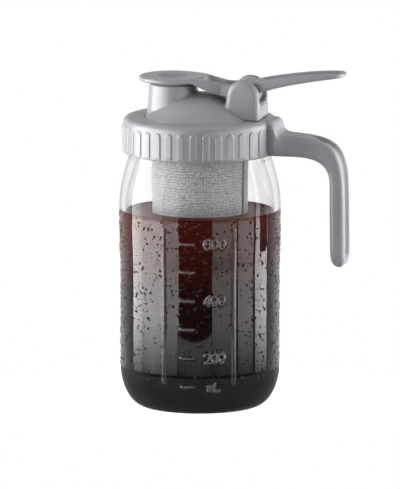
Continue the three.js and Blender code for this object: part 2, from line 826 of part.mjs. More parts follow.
// Filter basket: a pressed flange, a mesh tube with its seam strip, and a pressed cup at the foot
function filterFlange() {
  const t = steelThickness;
  const neckInner = meshRadius + seatGap;
  const flange = revolve(closed([
    [finishRadius, flangeFootZ],
    [finishRadius, flangeTopZ],
    ...arc(dishWallRadius - t + pressRound, flangeTopZ - pressRound, pressRound, pressRound, 90, 180, 2),
    [dishWallRadius - t, dishFloorZ + t],
    [neckInner, dishFloorZ + t],
    [neckInner, dishFloorZ - neckDepth],
    [neckInner + t, dishFloorZ - neckDepth],
    [neckInner + t, dishFloorZ],
    ...arc(dishWallRadius - pressRound, dishFloorZ + pressRound, pressRound, pressRound, -90, 0, 2),
    [dishWallRadius, flangeFootZ],
  ]), filterSegments);
  return toMesh("filter_flange", flange, steel);
}

function filterMesh() {
  const span = [cupFloorZ + meshFootInset, dishFloorZ - meshTopInset];
  const tube = ringSolid([meshRadius - meshWall, meshRadius], span, filterSegments);
  return toMesh("filter_mesh", tube, meshSteel);
}

function filterSeam() {
  const span = [cupFloorZ + cupRise + seatGap, dishFloorZ - neckDepth - seatGap];
  const strip = wallBar(meshRadius + seatGap, seamThickness, 0, seamAngle, seamWidth, span);
  return toMesh("filter_seam", strip, steel);
}

function filterCup() {
  const t = steelThickness;
  const inner = meshRadius + seatGap;
  const cup = revolve([
    [0, cupFloorZ - t],
    ...arc(inner + t - pressRound, cupFloorZ - t + pressRound, pressRound, pressRound, -90, 0, 2),
    [inner + t, cupFloorZ + cupRise],
    [inner, cupFloorZ + cupRise],
    [inner, cupFloorZ],
    [0, cupFloorZ],
  ], filterSegments);
  return toMesh("filter_cup", cup, steel);
}

const coffeeMaker = new THREE.Group();
coffeeMaker.add(
  glassJar(),
  lidCollar(),
  lidDome(),
  rockingCap(),
  spoutSeal(),
  lidGasket(),
  filterFlange(),
  filterMesh(),
  filterSeam(),
  filterCup(),
);

export default coffeeMaker;
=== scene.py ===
# Cold brew coffee maker: the looks of a glass jar with a pouring lid and a steel filter basket.
# Metres, +Z up, origin on the jar's axis at its base. The handle points to +X, the spout to -X.
import math
import random

import bmesh
import bpy
import numpy as np
from mathutils import Matrix, Vector


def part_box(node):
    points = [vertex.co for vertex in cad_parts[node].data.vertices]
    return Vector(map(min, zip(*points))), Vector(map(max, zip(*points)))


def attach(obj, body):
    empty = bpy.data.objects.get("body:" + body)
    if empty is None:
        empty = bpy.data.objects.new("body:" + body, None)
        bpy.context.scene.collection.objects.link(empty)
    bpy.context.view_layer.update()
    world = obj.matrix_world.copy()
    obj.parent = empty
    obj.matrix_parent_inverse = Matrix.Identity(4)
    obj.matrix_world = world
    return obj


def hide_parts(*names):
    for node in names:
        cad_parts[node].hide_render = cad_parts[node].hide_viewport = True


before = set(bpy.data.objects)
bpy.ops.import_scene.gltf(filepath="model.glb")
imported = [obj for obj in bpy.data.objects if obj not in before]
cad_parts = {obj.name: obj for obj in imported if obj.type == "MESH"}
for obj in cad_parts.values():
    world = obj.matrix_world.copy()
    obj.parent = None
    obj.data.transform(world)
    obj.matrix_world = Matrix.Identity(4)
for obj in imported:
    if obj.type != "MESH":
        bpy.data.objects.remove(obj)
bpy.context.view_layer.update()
scene = bpy.context.scene
scene.view_settings.view_transform = "Standard"

# Places read from the frame
jar_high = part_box("glass_jar")[1]
collar_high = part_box("lid_collar")[1]
gasket_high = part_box("lid_gasket")[1]
flange_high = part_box("filter_flange")[1]
mesh_low, mesh_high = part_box("filter_mesh")
cup_low, cup_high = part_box("filter_cup")

# Jar
rim_z = jar_high.z
jar_body_radius = 0.0479
jar_body_swell = 0.0007
swell_low_z = 0.082
swell_high_z = 0.108
jar_corner_reach = 0.0149
jar_corner_rise = 0.025
shoulder_height = 0.0295
shoulder_ease = 0.36
shoulder_pull = (0.52, 0.68)
neck_step = 0.0017
neck_band_height = 0.0041
neck_band_ease = 0.0004
finish_bevel = 0.0016
finish_height = 0.0128
finish_radius = 0.0413
finish_wall = 0.0034
lip_round = 0.0013
glass_wall = 0.0037
jar_floor = 0.0065
floor_crown = 0.0012
inner_corner_rise = 0.019
fine_row = 0.0005
coarse_row = 0.0016
inner_row = 0.004
fine_row_margins = (0.006, 0.004)
front_column_angle = 0.36
back_columns = 96
finish_foot_z = rim_z - finish_height
neck_band_top_z = finish_foot_z - finish_bevel
neck_z = neck_band_top_z - neck_band_height
shoulder_z = neck_z - shoulder_height
neck_radius = finish_radius + neck_step
shoulder_radius = jar_body_radius + jar_body_swell
jar_flat_radius = jar_body_radius - jar_corner_reach
mouth_radius = finish_radius - finish_wall
degree_length = math.radians(1) * jar_body_radius

# Scale on the glass
scale_rise = 0.00065
scale_softness = 0.0006
mark_core_share = 0.3
front_span = (-116, -44)
rib_angles = (-104.2, -52.7)
rib_half_width = 0.0011
rib_foot_z = 0.021
rib_top_z = 0.1135
tick_angle = -86.7
tick_half_length = 0.0039
stroke_half_width = 0.0004
tick_zs = (0.0185, 0.036, 0.0536, 0.071, 0.0884, 0.1055)
numeral_angle = -74.6
numeral_height = 0.0056
numeral_width = 0.0036
numeral_pitch = 0.0044
numerals = {5: "600", 3: "400", 1: "200"}
unit_height = 0.0048
unit_shift = 2.5
unit_angle = numeral_angle + unit_shift

# Screw thread
thread_pitch = 0.00508
thread_turns = 1.15
thread_drop = 0.010
thread_fade = 0.06
thread_root_width = 0.0024
thread_crest_width = 0.0012
thread_rise = 0.0016
thread_start_z = rim_z - thread_drop

# Coffee
coffee_z = 0.1188
coffee_overlap = 0.0002
meniscus_rise = 0.0012
meniscus_reach = 0.0022
# The glass's painted reflection steps down over this height, below and above the coffee's level
reflection_step_reach = 0.001

# Water drops. Each row of a drop gives its share of the drop's radius and of its rise
drop_count = 2600
drop_seed = 7
drop_low_z = 0.012
drop_radius_low = 0.0003
drop_radius_high = 0.0009
drop_flatness = 0.36
drop_sides = 8
drop_rows = ((1.0, -0.15), (0.93, 0.4), (0.55, 0.86))
drop_height_power = 0.85
drop_size_power = 2
drop_stretch = 0.5
drop_unevenness = 0.25

# Collar
skirt_radius = 0.0434
skirt_wall = 0.0029
skirt_depth = 0.0156
collar_radius = skirt_radius + skirt_wall
collar_top_z = collar_high.z
collar_bottom_z = rim_z - skirt_depth
ring_thickness = 0.0024
ledge_width = 0.0133
collar_shoulder_round = 0.0036
collar_foot_round = 0.001
grip_count = 38
grip_half_width = 0.0023
grip_rise = 0.0006
grip_softness = 0.0005
grip_turn = -2
grip_foot_gap = 0.0014
grip_top_gap = 0.0009
columns_per_grip = 20
collar_edge_ease = 0.0003
collar_fine_row = 0.0004
collar_coarse_row = 0.002
wall_tolerance = 0.0001
core_play = 0.0004
core_rise = 0.01
grip_foot_z = collar_bottom_z + grip_foot_gap
grip_top_z = collar_top_z - collar_shoulder_round - grip_top_gap
handle_root_angle = 19
dome_foot_radius = collar_radius - ledge_width
seat_gap = 0.0003
cut_overrun = 0.001

# Handle. Each station gives a point of the outer and of the inner face as shares of the reach and the drop,
# and a share of the half width
handle_reach = 0.0444
handle_drop = 0.0881
handle_half_width = 0.0095
handle_stations = (
    (-0.063, 0.001, -0.054, 0.241, 1.516), (0.011, 0.009, 0.014, 0.242, 1.495),
    (0.052, 0.032, 0.052, 0.243, 1.463), (0.074, 0.066, 0.074, 0.243, 1.432),
    (0.119, 0.092, 0.119, 0.244, 1.368), (0.196, 0.102, 0.191, 0.245, 1.263),
    (0.338, 0.107, 0.313, 0.247, 1.126), (0.489, 0.115, 0.435, 0.253, 1.042),
    (0.642, 0.131, 0.547, 0.264, 1.011), (0.775, 0.16, 0.644, 0.285, 1), (0.876, 0.208, 0.716, 0.317, 1),
    (0.939, 0.275, 0.761, 0.355, 1), (0.975, 0.359, 0.782, 0.404, 1), (0.991, 0.467, 0.786, 0.489, 1),
    (0.998, 0.694, 0.788, 0.699, 0.989), (1, 0.892, 0.795, 0.894, 0.979),
    (0.991, 0.952, 0.809, 0.952, 0.947), (0.968, 0.986, 0.84, 0.986, 0.842), (0.939, 1, 0.887, 1, 0.653),
)
handle_corner_shares = (0.3, 0.9)
handle_channel_depth = 0.0022
handle_channel_share = 0.62
handle_channel_side = 0.16
handle_channel_span = (6.5, 16.2)
handle_channel_fades = (1.5, 1.0)

# Dome and spout
dome_rise = 0.0147
dome_wall = 0.0022
dome_flange_lap = 0.0036
dome_flange_clear = 0.0005
spout_rise = 0.0197
spout_inset = 0.0004
spout_foot_radius = 0.0162
spout_taper = 0.0018
spout_lip_round = 0.0008
spout_top_wall = 0.0025
spout_foot_wall = 0.003
dome_voxel = 0.0004
ring_foot_z = collar_top_z - ring_thickness
dome_apex_z = collar_top_z + dome_rise
spout_x = spout_foot_radius + spout_inset - dome_foot_radius
spout_top_z = collar_top_z + spout_rise
spout_top_radius = spout_foot_radius - spout_taper
bore_top_radius = spout_top_radius - spout_top_wall
bore_foot_radius = spout_foot_radius - spout_foot_wall

# Hinge
hinge_inset = 0.004
hinge_rise = 0.0143
hinge_x = dome_foot_radius - hinge_inset
hinge_z = collar_top_z + hinge_rise
hub_radius = 0.0076
rocker_half_width = 0.0096
ear_radius = 0.010
ear_thickness = 0.0042
ear_play = 0.0007
ear_foot_front = 0.0132
ear_round = 0.0032
ear_inner_y = rocker_half_width + ear_play
ear_outer_y = ear_inner_y + ear_thickness
panel_drop = 0.004
panel_thickness = 0.0031
panel_inner_x = hinge_x + hub_radius
panel_top_z = hinge_z - panel_drop
panel_notch_shares = (-0.53, 0, 0.53)
panel_notch_width = 0.003
panel_notch_depth = 0.0024
panel_groove = 0.0009

# Rocking cap: the top line runs in shares from the hinge to the plate's middle, and to the lever's tip.
# The under lines run in shares from the hub's sides to the spout's lip, and to the lever's tip
plate_radius = 0.0203
plate_shift = 0.0005
plate_clear = 0.0015
plate_x = spout_x - plate_shift
plate_under_z = spout_top_z + plate_clear
plate_thickness = 0.003
plate_top_z = plate_under_z + plate_thickness
plate_edge_round = 0.0014
dish_radius = 0.0097
dish_depth = 0.0023
skirt_ring_play = 0.00085
seal_play = 0.00045
seal_radius = bore_top_radius - seal_play
lever_length = 0.061
lever_rise = 0.015
lever_tip_x = hinge_x + lever_length
lever_top_z = hinge_z + lever_rise
lever_tip_round = 0.0075
arm_top_shares = ((0.806, 0.995), (0.632, 0.98), (0.458, 0.848), (0.24, 0.687), (0, 0.768))
lever_top_shares = ((0.18, 0.653), (0.377, 0.793), (0.607, 0.92), (0.836, 0.987), (1.016, 1))
lever_under_shares = ((0.037, 0.153), (0.139, 0.253), (0.288, 0.4), (0.551, 0.6), (0.813, 0.76),
                      (1.019, 0.867))
arm_under_shares = ((1.107, 1.014), (0.957, 0.942), (0.786, 0.609), (0.53, 0.188), (0.274, -0.072),
                    (0.124, -0.159))
flare_start_shares = (0.35, 0.925)
flare_control_shares = (0.95, 1.4)
flare_end_share = 1.55
rocker_rim = 0.0026
rocker_channel_depth = 0.0026
rocker_channel_side = 0.0012
rocker_edge_round = 0.0014
rocker_edge_share = 0.45
rocker_side_share = 0.5
rocker_channel_limit = 0.55
rocker_thinnest_share = 0.05
rocker_voxel = 0.00035
arm_channel_shares = (0.6, 0.5, 0.2, 0.1)
lever_channel_shares = (0.12, 0.25, 0.86, 0.98)
barrel_span = (30, 165)

# Filter basket
steel_thickness = 0.0008
press_round = 0.0012
mesh_radius = mesh_high.x
mesh_wall = 0.0006
mesh_segments = 180
mesh_pitch = 0.0009
mesh_band_pitch = 0.0017
dish_drop = 0.007
dish_play = 0.0007
dish_floor_z = rim_z - dish_drop
dish_wall_radius = mouth_radius - dish_play
flange_neck_depth = 0.009
cup_floor_z = cup_low.z + steel_thickness

# Camera
view_azimuth = math.radians(12.5)
view_elevation = math.radians(9.5)
view_distance = 9.0
view_height = 0.2946
aim = Vector((0, 0, 0.0976))
sensor = 0.036

# Looks: shares of the second of two materials or values, and the floor's glow
# Share of white painted on the glass's marks as a highlight
highlight_white_share = 0.13
grain_share = 0.88
band_and_patch_share = 0.72
mirror_share = 0.08
seen_floor_glow = 0.75
hidden_floor_glow = 0.02

# Stage
floor_radius = 0.155
floor_drop = 0.0002
floor_sides = 96
box_foot_rise = 0.0175
box_foot_fade = 0.045
box_full_z = 0.25
box_high_z = 0.7

# Soft boxes: name, bearing from the camera's side, angle they fill, distance and radiance
soft_boxes = (
    ("left_strip", -100, 20, 0.6, 8.0),
    ("left_panel", -72, 36, 0.6, 6.6),
    ("left_fill", -42, 24, 0.65, 3.2),
    ("right_fill_near", 35, 36, 0.7, 1.7),
    ("right_fill", 68, 26, 0.7, 2.6),
    ("right_strip", 97, 25, 0.6, 5.8),
)
low_card = ("low_card", -7.5, 47, 0.318, 0.95)
low_card_foot = (-0.034, -0.008)
low_card_head = (-0.002, 0.0)
lamp_size = 0.5
top_lamp_height = 1
top_lamp_energy = 2.0
right_lamp_bearing = 85
right_lamp_rise = 22
right_lamp_distance = 0.58
right_lamp_energy = 2.8

# What reflections see of the world: by nearness to the camera's side, and by height
world_fade = ((0.03, 0.75), (0.1, 0.9), (0.26, 0.5), (0.5, 0.22), (0.65, 0.06))
world_belt = ((0.2, 1), (0.32, 0.1), (0.62, 0.1), (0.85, 1))
world_fill = 0.06


def toward(azimuth, elevation=0.0):
    """Unit vector from the object to a place at that bearing from the camera's own side."""
    flat = math.cos(elevation)
    return Vector((math.sin(azimuth) * flat, -math.cos(azimuth) * flat, math.sin(elevation)))


def add_object(name, data):
    thing = bpy.data.objects.new(name, data)
    scene.collection.objects.link(thing)
    return thing


def add_camera():
    data = bpy.data.cameras.new("camera")
    data.sensor_width = sensor * 1000
    data.lens = sensor * 1000 * view_distance / view_height
    data.clip_end = 100
    camera = add_object("camera", data)
    back = toward(view_azimuth, view_elevation)
    camera.location = aim + back * view_distance
    camera.rotation_euler = (-back).to_track_quat("-Z", "Y").to_euler()
    scene.camera = camera


# Point lists: (radius, height) or (x, z) pairs
def arc(centre, radii, start, stop, steps):
    """Points along an arc, its ends in degrees. radii is one number for a circle, two for an ellipse."""
    across, up = np.broadcast_to(radii, 2)
    turn = np.radians(np.linspace(start, stop, steps + 1))
    return np.stack([centre[0] + across * np.cos(turn), centre[1] + up * np.sin(turn)], 1)


def rounded(x, z, soft, start, steps):
    """Quarter circle that rounds the corner at (x, z) by soft. It starts at -90, 0, 90 or 180 degrees."""
    middle = math.radians(start + 45)
    centre = (x - math.copysign(soft, math.cos(middle)), z - math.copysign(soft, math.sin(middle)))
    return arc(centre, soft, start, start + 90, steps)


def rectangle(x, z, far_x, far_z):
    return [(x, z), (far_x, z), (far_x, far_z), (x, far_z)]


def value_at(line, x):
    """The line's second measure where its first is x."""
    return np.interp(x, line[:, 0], line[:, 1])


def bezier(points, steps):
    p = np.array(points, float)
    t = np.linspace(0, 1, steps + 1)[:, None]
    return (1 - t) ** 3 * p[0] + 3 * (1 - t) ** 2 * t * p[1] + 3 * (1 - t) * t ** 2 * p[2] + t ** 3 * p[3]


def spline(points, steps):
    """Curve through every point, steps pieces between each pair of neighbours."""
    p = np.array(points, float)
    p = np.concatenate([[p[0]], p, [p[-1]]])
    t = np.linspace(0, 1, steps, endpoint=False)[:, None]
    rows = []
    for a, b, c, d in zip(p, p[1:], p[2:], p[3:]):
        rows.append(0.5 * (2 * b + (c - a) * t + (2 * a - 5 * b + 4 * c - d) * t ** 2
                           + (3 * b - a - 3 * c + d) * t ** 3))
    return np.concatenate(rows + [p[-1:]])


def join(*parts):
    return np.concatenate([np.atleast_2d(np.array(p, float)) for p in parts])


def spaced(line, spacing):
    """The same line with points at most spacing apart; spacing may depend on height."""
    rows = [line[0]]
    for a, b in zip(line, line[1:]):
        step = spacing((a[1] + b[1]) / 2) if callable(spacing) else spacing
        count = max(1, math.ceil(np.linalg.norm(b - a) / step))
        rows += [a + (b - a) * k / count for k in range(1, count + 1)]
    return np.array(rows)


def smooth_step(low, high, value):
    t = np.clip((value - low) / (high - low), 0, 1)
    return t * t * (3 - 2 * t)


def bar_section(wide, low, high, soft, top, steps):
    """Outline across a bar from its lower right: corners rounded by soft, with top as its upper side."""
    return join(rounded(wide, low, soft, -90, steps), rounded(wide, high, soft, 0, steps), top,
                rounded(-wide, high, soft, 90, steps), rounded(-wide, low, soft, 180, steps))


# Meshes
def new_piece(name, vertices, faces, material=None, sharp=40):
    """Smooth piece, its edges sharp where they turn by more than sharp degrees."""
    mesh = bpy.data.meshes.new(name)
    mesh.from_pydata(np.asarray(vertices, float).tolist(), [], faces)
    work = bmesh.new()
    work.from_mesh(mesh)
    bmesh.ops.remove_doubles(work, verts=work.verts, dist=1e-6)
    bmesh.ops.recalc_face_normals(work, faces=work.faces)
    work.to_mesh(mesh)
    work.free()
    mesh.shade_smooth()
    mesh.set_sharp_from_angle(angle=math.radians(sharp))
    if material:
        mesh.materials.append(material)
    return add_object(name, mesh)


def skin(name, grid, material=None, ring=False, caps=False, sharp=40):
    """Faces over a grid of points whose columns go round. ring also joins the last row to the first."""
    rows, columns = grid.shape[:2]
    last = rows if ring else rows - 1
    faces = []
    for r in range(last):
        a = r * columns
        b = ((r + 1) % rows) * columns
        faces += [(a + c, a + (c + 1) % columns, b + (c + 1) % columns, b + c) for c in range(columns)]
    if caps:
        faces += [tuple(range(columns)), tuple(range((rows - 1) * columns, rows * columns))[::-1]]
    return new_piece(name, grid.reshape(-1, 3), faces, material, sharp)


def turned(line, angles, centre_x=0.0, relief=None):
    """Grid of a line of (radius, height) points turned about a vertical axis. relief adds to the radius."""
    turn = np.radians(angles)
    radius = np.repeat(line[:, :1], len(angles), 1)
    height = np.repeat(line[:, 1:2], len(angles), 1)
    if relief is not None:
        radius = radius + relief(line, angles)
    return np.stack([centre_x + radius * np.cos(turn), radius * np.sin(turn), height], 2)


def lathe(name, line, material=None, centre_x=0.0, segments=144, ring=False, sharp=40):
    angles = np.linspace(0, 360, segments, endpoint=False)
    return skin(name, turned(np.asarray(line, float), angles, centre_x), material, ring=ring, sharp=sharp)


def slab(name, outline, half_width, edge_round=0.0, steps=5):
    """Side view outline in XZ, drawn out across Y, its edges rounded by edge_round."""
    p = np.array(outline, float)
    forward = np.roll(p, -1, 0) - p
    forward /= np.linalg.norm(forward, axis=1)[:, None]
    backward = np.roll(forward, 1, 0)
    tangent = forward + backward
    tangent /= np.linalg.norm(tangent, axis=1)[:, None]
    inward = np.stack([-tangent[:, 1], tangent[:, 0]], 1)
    area = np.sum(p[:, 0] * np.roll(p[:, 1], -1) - np.roll(p[:, 0], -1) * p[:, 1])
    inward *= math.copysign(1, area)
    widen = 1 / np.maximum(0.5, np.sum(forward * tangent, 1))
    layers = [(0, half_width)]
    if edge_round:
        flat = half_width - edge_round
        layers = [(edge_round - edge_round * math.sin(t), flat + edge_round * math.cos(t))
                  for t in np.linspace(0, math.pi / 2, steps + 1)]
    both = layers + [(inset, -y) for inset, y in layers[::-1]]
    grid = [[(q[0], y, q[1]) for q in p + inward * (inset * widen)[:, None]] for inset, y in both]
    return skin(name, np.array(grid), caps=True)


def block(name, low, high):
    x, y, z = zip(low, high)
    piece = slab(name, rectangle(x[0], z[0], x[1], z[1]), (y[1] - y[0]) / 2)
    piece.data.transform(Matrix.Translation((0, (y[0] + y[1]) / 2, 0)))
    return piece


def merged(name, pieces):
    """One object holding the meshes of all the pieces."""
    work = bmesh.new()
    for piece in pieces:
        work.from_mesh(piece.data)
        bpy.data.objects.remove(piece)
    mesh = bpy.data.meshes.new(name)
    work.to_mesh(mesh)
    work.free()
    return add_object(name, mesh)


def applied(piece):
    """Writes the result of the piece's modifiers into its mesh."""
    graph = bpy.context.evaluated_depsgraph_get()
    mesh = bpy.data.meshes.new_from_object(piece.evaluated_get(graph))
    piece.modifiers.clear()
    piece.data = mesh
    return piece


def add_remesh(piece, voxel):
    step = piece.modifiers.new("remesh", "REMESH")
    step.mode = "VOXEL"
    step.voxel_size = voxel
    step.use_smooth_shade = True


def add_cut(piece, cutter, operation="DIFFERENCE"):
    step = piece.modifiers.new("cut", "BOOLEAN")
    step.operation = operation
    step.solver = "MANIFOLD"
    step.object = cutter


def combine(piece, others, operation="DIFFERENCE"):
    """Cuts the others out of the piece, or joins them to it, and takes them out of the scene."""
    for other in others:
        add_cut(piece, other, operation)
    applied(piece)
    for other in others:
        bpy.data.objects.remove(other)
    return piece


def coat(piece, material):
    """Makes the material the piece's only one."""
    piece.data.materials.clear()
    piece.data.materials.append(material)


def fused(name, parts, cutters, material, voxel, rounds):
    """The parts as one moulding with soft inner corners and edges, less the cutters."""
    piece = merged(name, parts)
    add_remesh(piece, voxel)
    for cutter in cutters:
        add_cut(piece, cutter)
    add_remesh(piece, voxel)
    soft = piece.modifiers.new("soften", "SMOOTH")
    soft.factor = 0.5
    soft.iterations = rounds
    applied(piece)
    for cutter in cutters:
        bpy.data.objects.remove(cutter)
    coat(piece, material)
    piece.data.shade_smooth()
    return piece


# Building materials: an input is given a value or the output of another node
def fill(node, inputs):
    for key, value in inputs.items():
        if isinstance(value, bpy.types.NodeSocket):
            node.id_data.links.new(value, node.inputs[key])
        else:
            node.inputs[key].default_value = value


def add_node(nodes, kind, inputs=None, **settings):
    node = nodes.new("ShaderNode" + kind)
    for key, value in settings.items():
        setattr(node, key, value)
    fill(node, inputs or {})
    return node


def material_with(name):
    material = bpy.data.materials.new(name)
    material.use_nodes = True
    nodes = material.node_tree.nodes
    return material, nodes, nodes["Principled BSDF"], nodes["Material Output"]


def noise(nodes, scale, detail):
    place = add_node(nodes, "TexCoord").outputs["Object"]
    return add_node(nodes, "TexNoise", {"Scale": scale, "Detail": detail, "Vector": place}).outputs["Fac"]


def ramp(nodes, source, stops):
    node = add_node(nodes, "ValToRGB", {"Fac": source})
    while len(node.color_ramp.elements) < len(stops):
        node.color_ramp.elements.new(0.5)
    for element, (position, colour) in zip(node.color_ramp.elements, stops):
        element.position = position
        element.color = (*colour, 1)
    return node.outputs["Color"]


def calc(nodes, operation, first, second):
    return add_node(nodes, "Math", {0: first, 1: second}, operation=operation).outputs["Value"]


def mix(nodes, factor, first, second, kind="FLOAT"):
    node = add_node(nodes, "Mix", {"Factor": factor, "A": first, "B": second}, data_type=kind)
    return node.outputs["Result"]


def mix_shaders(nodes, factor, first, second):
    return add_node(nodes, "MixShader", {"Fac": factor, 1: first, 2: second}).outputs["Shader"]


def bump(nodes, source, strength, distance):
    node = add_node(nodes, "Bump", {"Strength": strength, "Distance": distance, "Height": source})
    return node.outputs["Normal"]


def either_ray(nodes, first, second):
    """1 for rays of two kinds, 0 for all others."""
    path = add_node(nodes, "LightPath").outputs
    return calc(nodes, "MAXIMUM", path[first], path[second])


def object_height(nodes, low, high, most=1):
    """Height in the piece's own frame, from 0 at low to most at high."""
    place = add_node(nodes, "TexCoord").outputs["Object"]
    z = add_node(nodes, "SeparateXYZ", {"Vector": place}).outputs["Z"]
    inputs = {"Value": z, "From Min": low, "From Max": high, "To Max": most}
    return add_node(nodes, "MapRange", inputs).outputs["Result"]


def mottled(name, grain, dark, pale, roughness, inputs, relief=None):
    """Material with a colour from dark to pale and a roughness between two values, in patches.

    grain gives the patches' scale and detail; relief gives a fine bump's scale, detail, strength and height.
    """
    material, nodes, shader, _ = material_with(name)
    patches = noise(nodes, *grain)
    rough = add_node(nodes, "MapRange", {"Value": patches, "To Min": roughness[0], "To Max": roughness[1]})
    fill(shader, {"Base Color": ramp(nodes, patches, ((0.3, dark), (0.7, pale))),
                  "Roughness": rough.outputs["Result"], **inputs})
    if relief:
        fill(shader, {"Normal": bump(nodes, noise(nodes, *relief[:2]), *relief[2:])})
    return material


# Materials
def plastic_material():
    return mottled("satin_grey_plastic", (28, 4), (0.275, 0.279, 0.296), (0.302, 0.306, 0.324),
                   (0.29, 0.35), {"Specular IOR Level": 0.75}, relief=(2600, 2, 0.12, 0.00008))


def seam_material():
    """The dull pressed strip where the mesh tube closes."""
    return mottled("dull_steel_seam", (1000, 2), (0.22, 0.22, 0.215), (0.36, 0.36, 0.35), (0.5, 0.5),
                   {"Metallic": 0.2})


def silicone_material():
    return mottled("white_silicone", (60, 3), (0.72, 0.72, 0.70), (0.78, 0.78, 0.76), (0.5, 0.6), {})


def steel_material():
    return mottled("pressed_steel", (40, 4), (0.55, 0.56, 0.57), (0.62, 0.63, 0.64), (0.24, 0.34),
                   {"Metallic": 1})


def wires(nodes, direction, pitch, uneven=None):
    """Height across one set of parallel wires, one at a wire's middle.

    At scale 1 the wave texture repeats at every 2 pi / 20.
    """
    place = add_node(nodes, "UVMap", uv_map="weave").outputs["UV"]
    inputs = {"Vector": place, "Scale": 2 * math.pi / 20 / pitch, **(uneven or {})}
    wave = add_node(nodes, "TexWave", inputs, wave_type="BANDS", bands_direction=direction)
    return wave.outputs["Fac"]


def mesh_material():
    """Fine woven wire with painted shade: its gaps are darker, as the shaded inside shows through real
    holes. Its tone also varies in bands round the tube and in random patches.
    """
    material, nodes, shader, _ = material_with("woven_steel_mesh")
    wire = calc(nodes, "MAXIMUM", wires(nodes, "X", mesh_pitch), wires(nodes, "Y", mesh_pitch))
    band = wires(nodes, "Y", mesh_band_pitch, {"Distortion": 1.2, "Detail": 2, "Detail Scale": 2})
    uneven = mix(nodes, grain_share, band, noise(nodes, 1000, 2))
    both = mix(nodes, band_and_patch_share, wire, uneven)
    # Painted shade: the tone is darkest in the gaps between the wires
    tone = ramp(nodes, both, ((0.3, (0.085, 0.085, 0.083)), (0.75, (0.58, 0.58, 0.57))))
    fill(shader, {"Metallic": 0.2, "Roughness": 0.4, "Base Color": tone,
                  "Normal": bump(nodes, wire, 0.6, 0.0001)})
    return material


def glass_material():
    """Clear glass, painted grey toward its edges, with a painted highlight of white on its marks and a
    painted reflection that is weaker above the coffee. Shadow and diffuse rays go through it.
    """
    material, nodes, shader, output = material_with("clear_glass")
    # Painted shade: the glass's colour darkens toward its edges as the camera sees them, standing in for the
    # dark lines that refraction draws there
    edge = add_node(nodes, "LayerWeight", {"Blend": 0.35}).outputs["Facing"]
    tone = ramp(nodes, edge, ((0.3, (0.935, 0.94, 0.938)), (0.55, (0.8, 0.815, 0.812)),
                              (0.72, (0.36, 0.375, 0.375)), (0.9, (0.12, 0.13, 0.13))))
    # Painted reflection: the glass reflects at full strength below the coffee's level and at about a third
    # of that above it
    above_coffee = object_height(nodes, coffee_z - reflection_step_reach, coffee_z + reflection_step_reach)
    sheen = ramp(nodes, above_coffee, ((0, (1, 1, 1)), (1, (0.35, 0.35, 0.35))))
    fill(shader, {"Transmission Weight": 1, "Roughness": 0.0, "IOR": 1.5, "Base Color": tone,
                  "Specular Tint": sheen})
    # Painted highlight: a share of diffuse white over the marks, where raised glass would catch the light
    painted_highlight = add_node(nodes, "Attribute", attribute_name="painted_highlight").outputs["Fac"]
    highlight_white = add_node(nodes, "BsdfDiffuse", {"Color": (0.85, 0.86, 0.86, 1)}).outputs["BSDF"]
    highlighted_glass = mix_shaders(nodes, calc(nodes, "MULTIPLY", painted_highlight, highlight_white_share), shader.outputs["BSDF"], highlight_white)
    through = add_node(nodes, "BsdfTransparent", {"Color": (0.93, 0.94, 0.935, 1)}).outputs["BSDF"]
    passing = either_ray(nodes, "Is Shadow Ray", "Is Diffuse Ray")
    fill(output, {"Surface": mix_shaders(nodes, passing, highlighted_glass, through)})
    return material


def coffee_painted_glow(nodes, share=1.0):
    """Colour of the coffee behind the glass, with painted light: red near its surface, where light gets into
    it, nearly black at the foot.
    """
    stops = ((0.3, (0.003, 0.002, 0.002)), (0.62, (0.014, 0.0015, 0.001)), (1.0, (0.065, 0.007, 0.003)))
    return ramp(nodes, object_height(nodes, 0, coffee_z),
                [(place, [share * part for part in colour]) for place, colour in stops])


def coffee_material():
    material, nodes, shader, _ = material_with("cold_brew_coffee")
    # Painted light: the coffee's colour is lit red near its surface
    fill(shader, {"Base Color": coffee_painted_glow(nodes), "Roughness": 0.3, "Specular IOR Level": 0.0})
    return material


def coffee_surface_material():
    material, nodes, shader, output = material_with("coffee_surface")
    fill(shader, {"Base Color": (0.06, 0.011, 0.009, 1), "Specular IOR Level": 0.0})
    mirror = add_node(nodes, "BsdfGlossy", {"Color": (1, 0.76, 0.79, 1), "Roughness": 0.04}).outputs["BSDF"]
    fill(output, {"Surface": mix_shaders(nodes, mirror_share, shader.outputs["BSDF"], mirror)})
    return material


def water_material():
    """Drops over the coffee: its colour with its painted light seen through them, under a bright skin of
    water.
    """
    material, nodes, shader, _ = material_with("water_over_coffee")
    fill(shader, {"Base Color": coffee_painted_glow(nodes, 0.8), "Roughness": 0.03, "IOR": 1.33})
    return material


plastic = plastic_material()
silicone = silicone_material()
steel = steel_material()
seam_steel = seam_material()
steel_mesh = mesh_material()
glass = glass_material()
coffee = coffee_material()
coffee_surface = coffee_surface_material()
water = water_material()


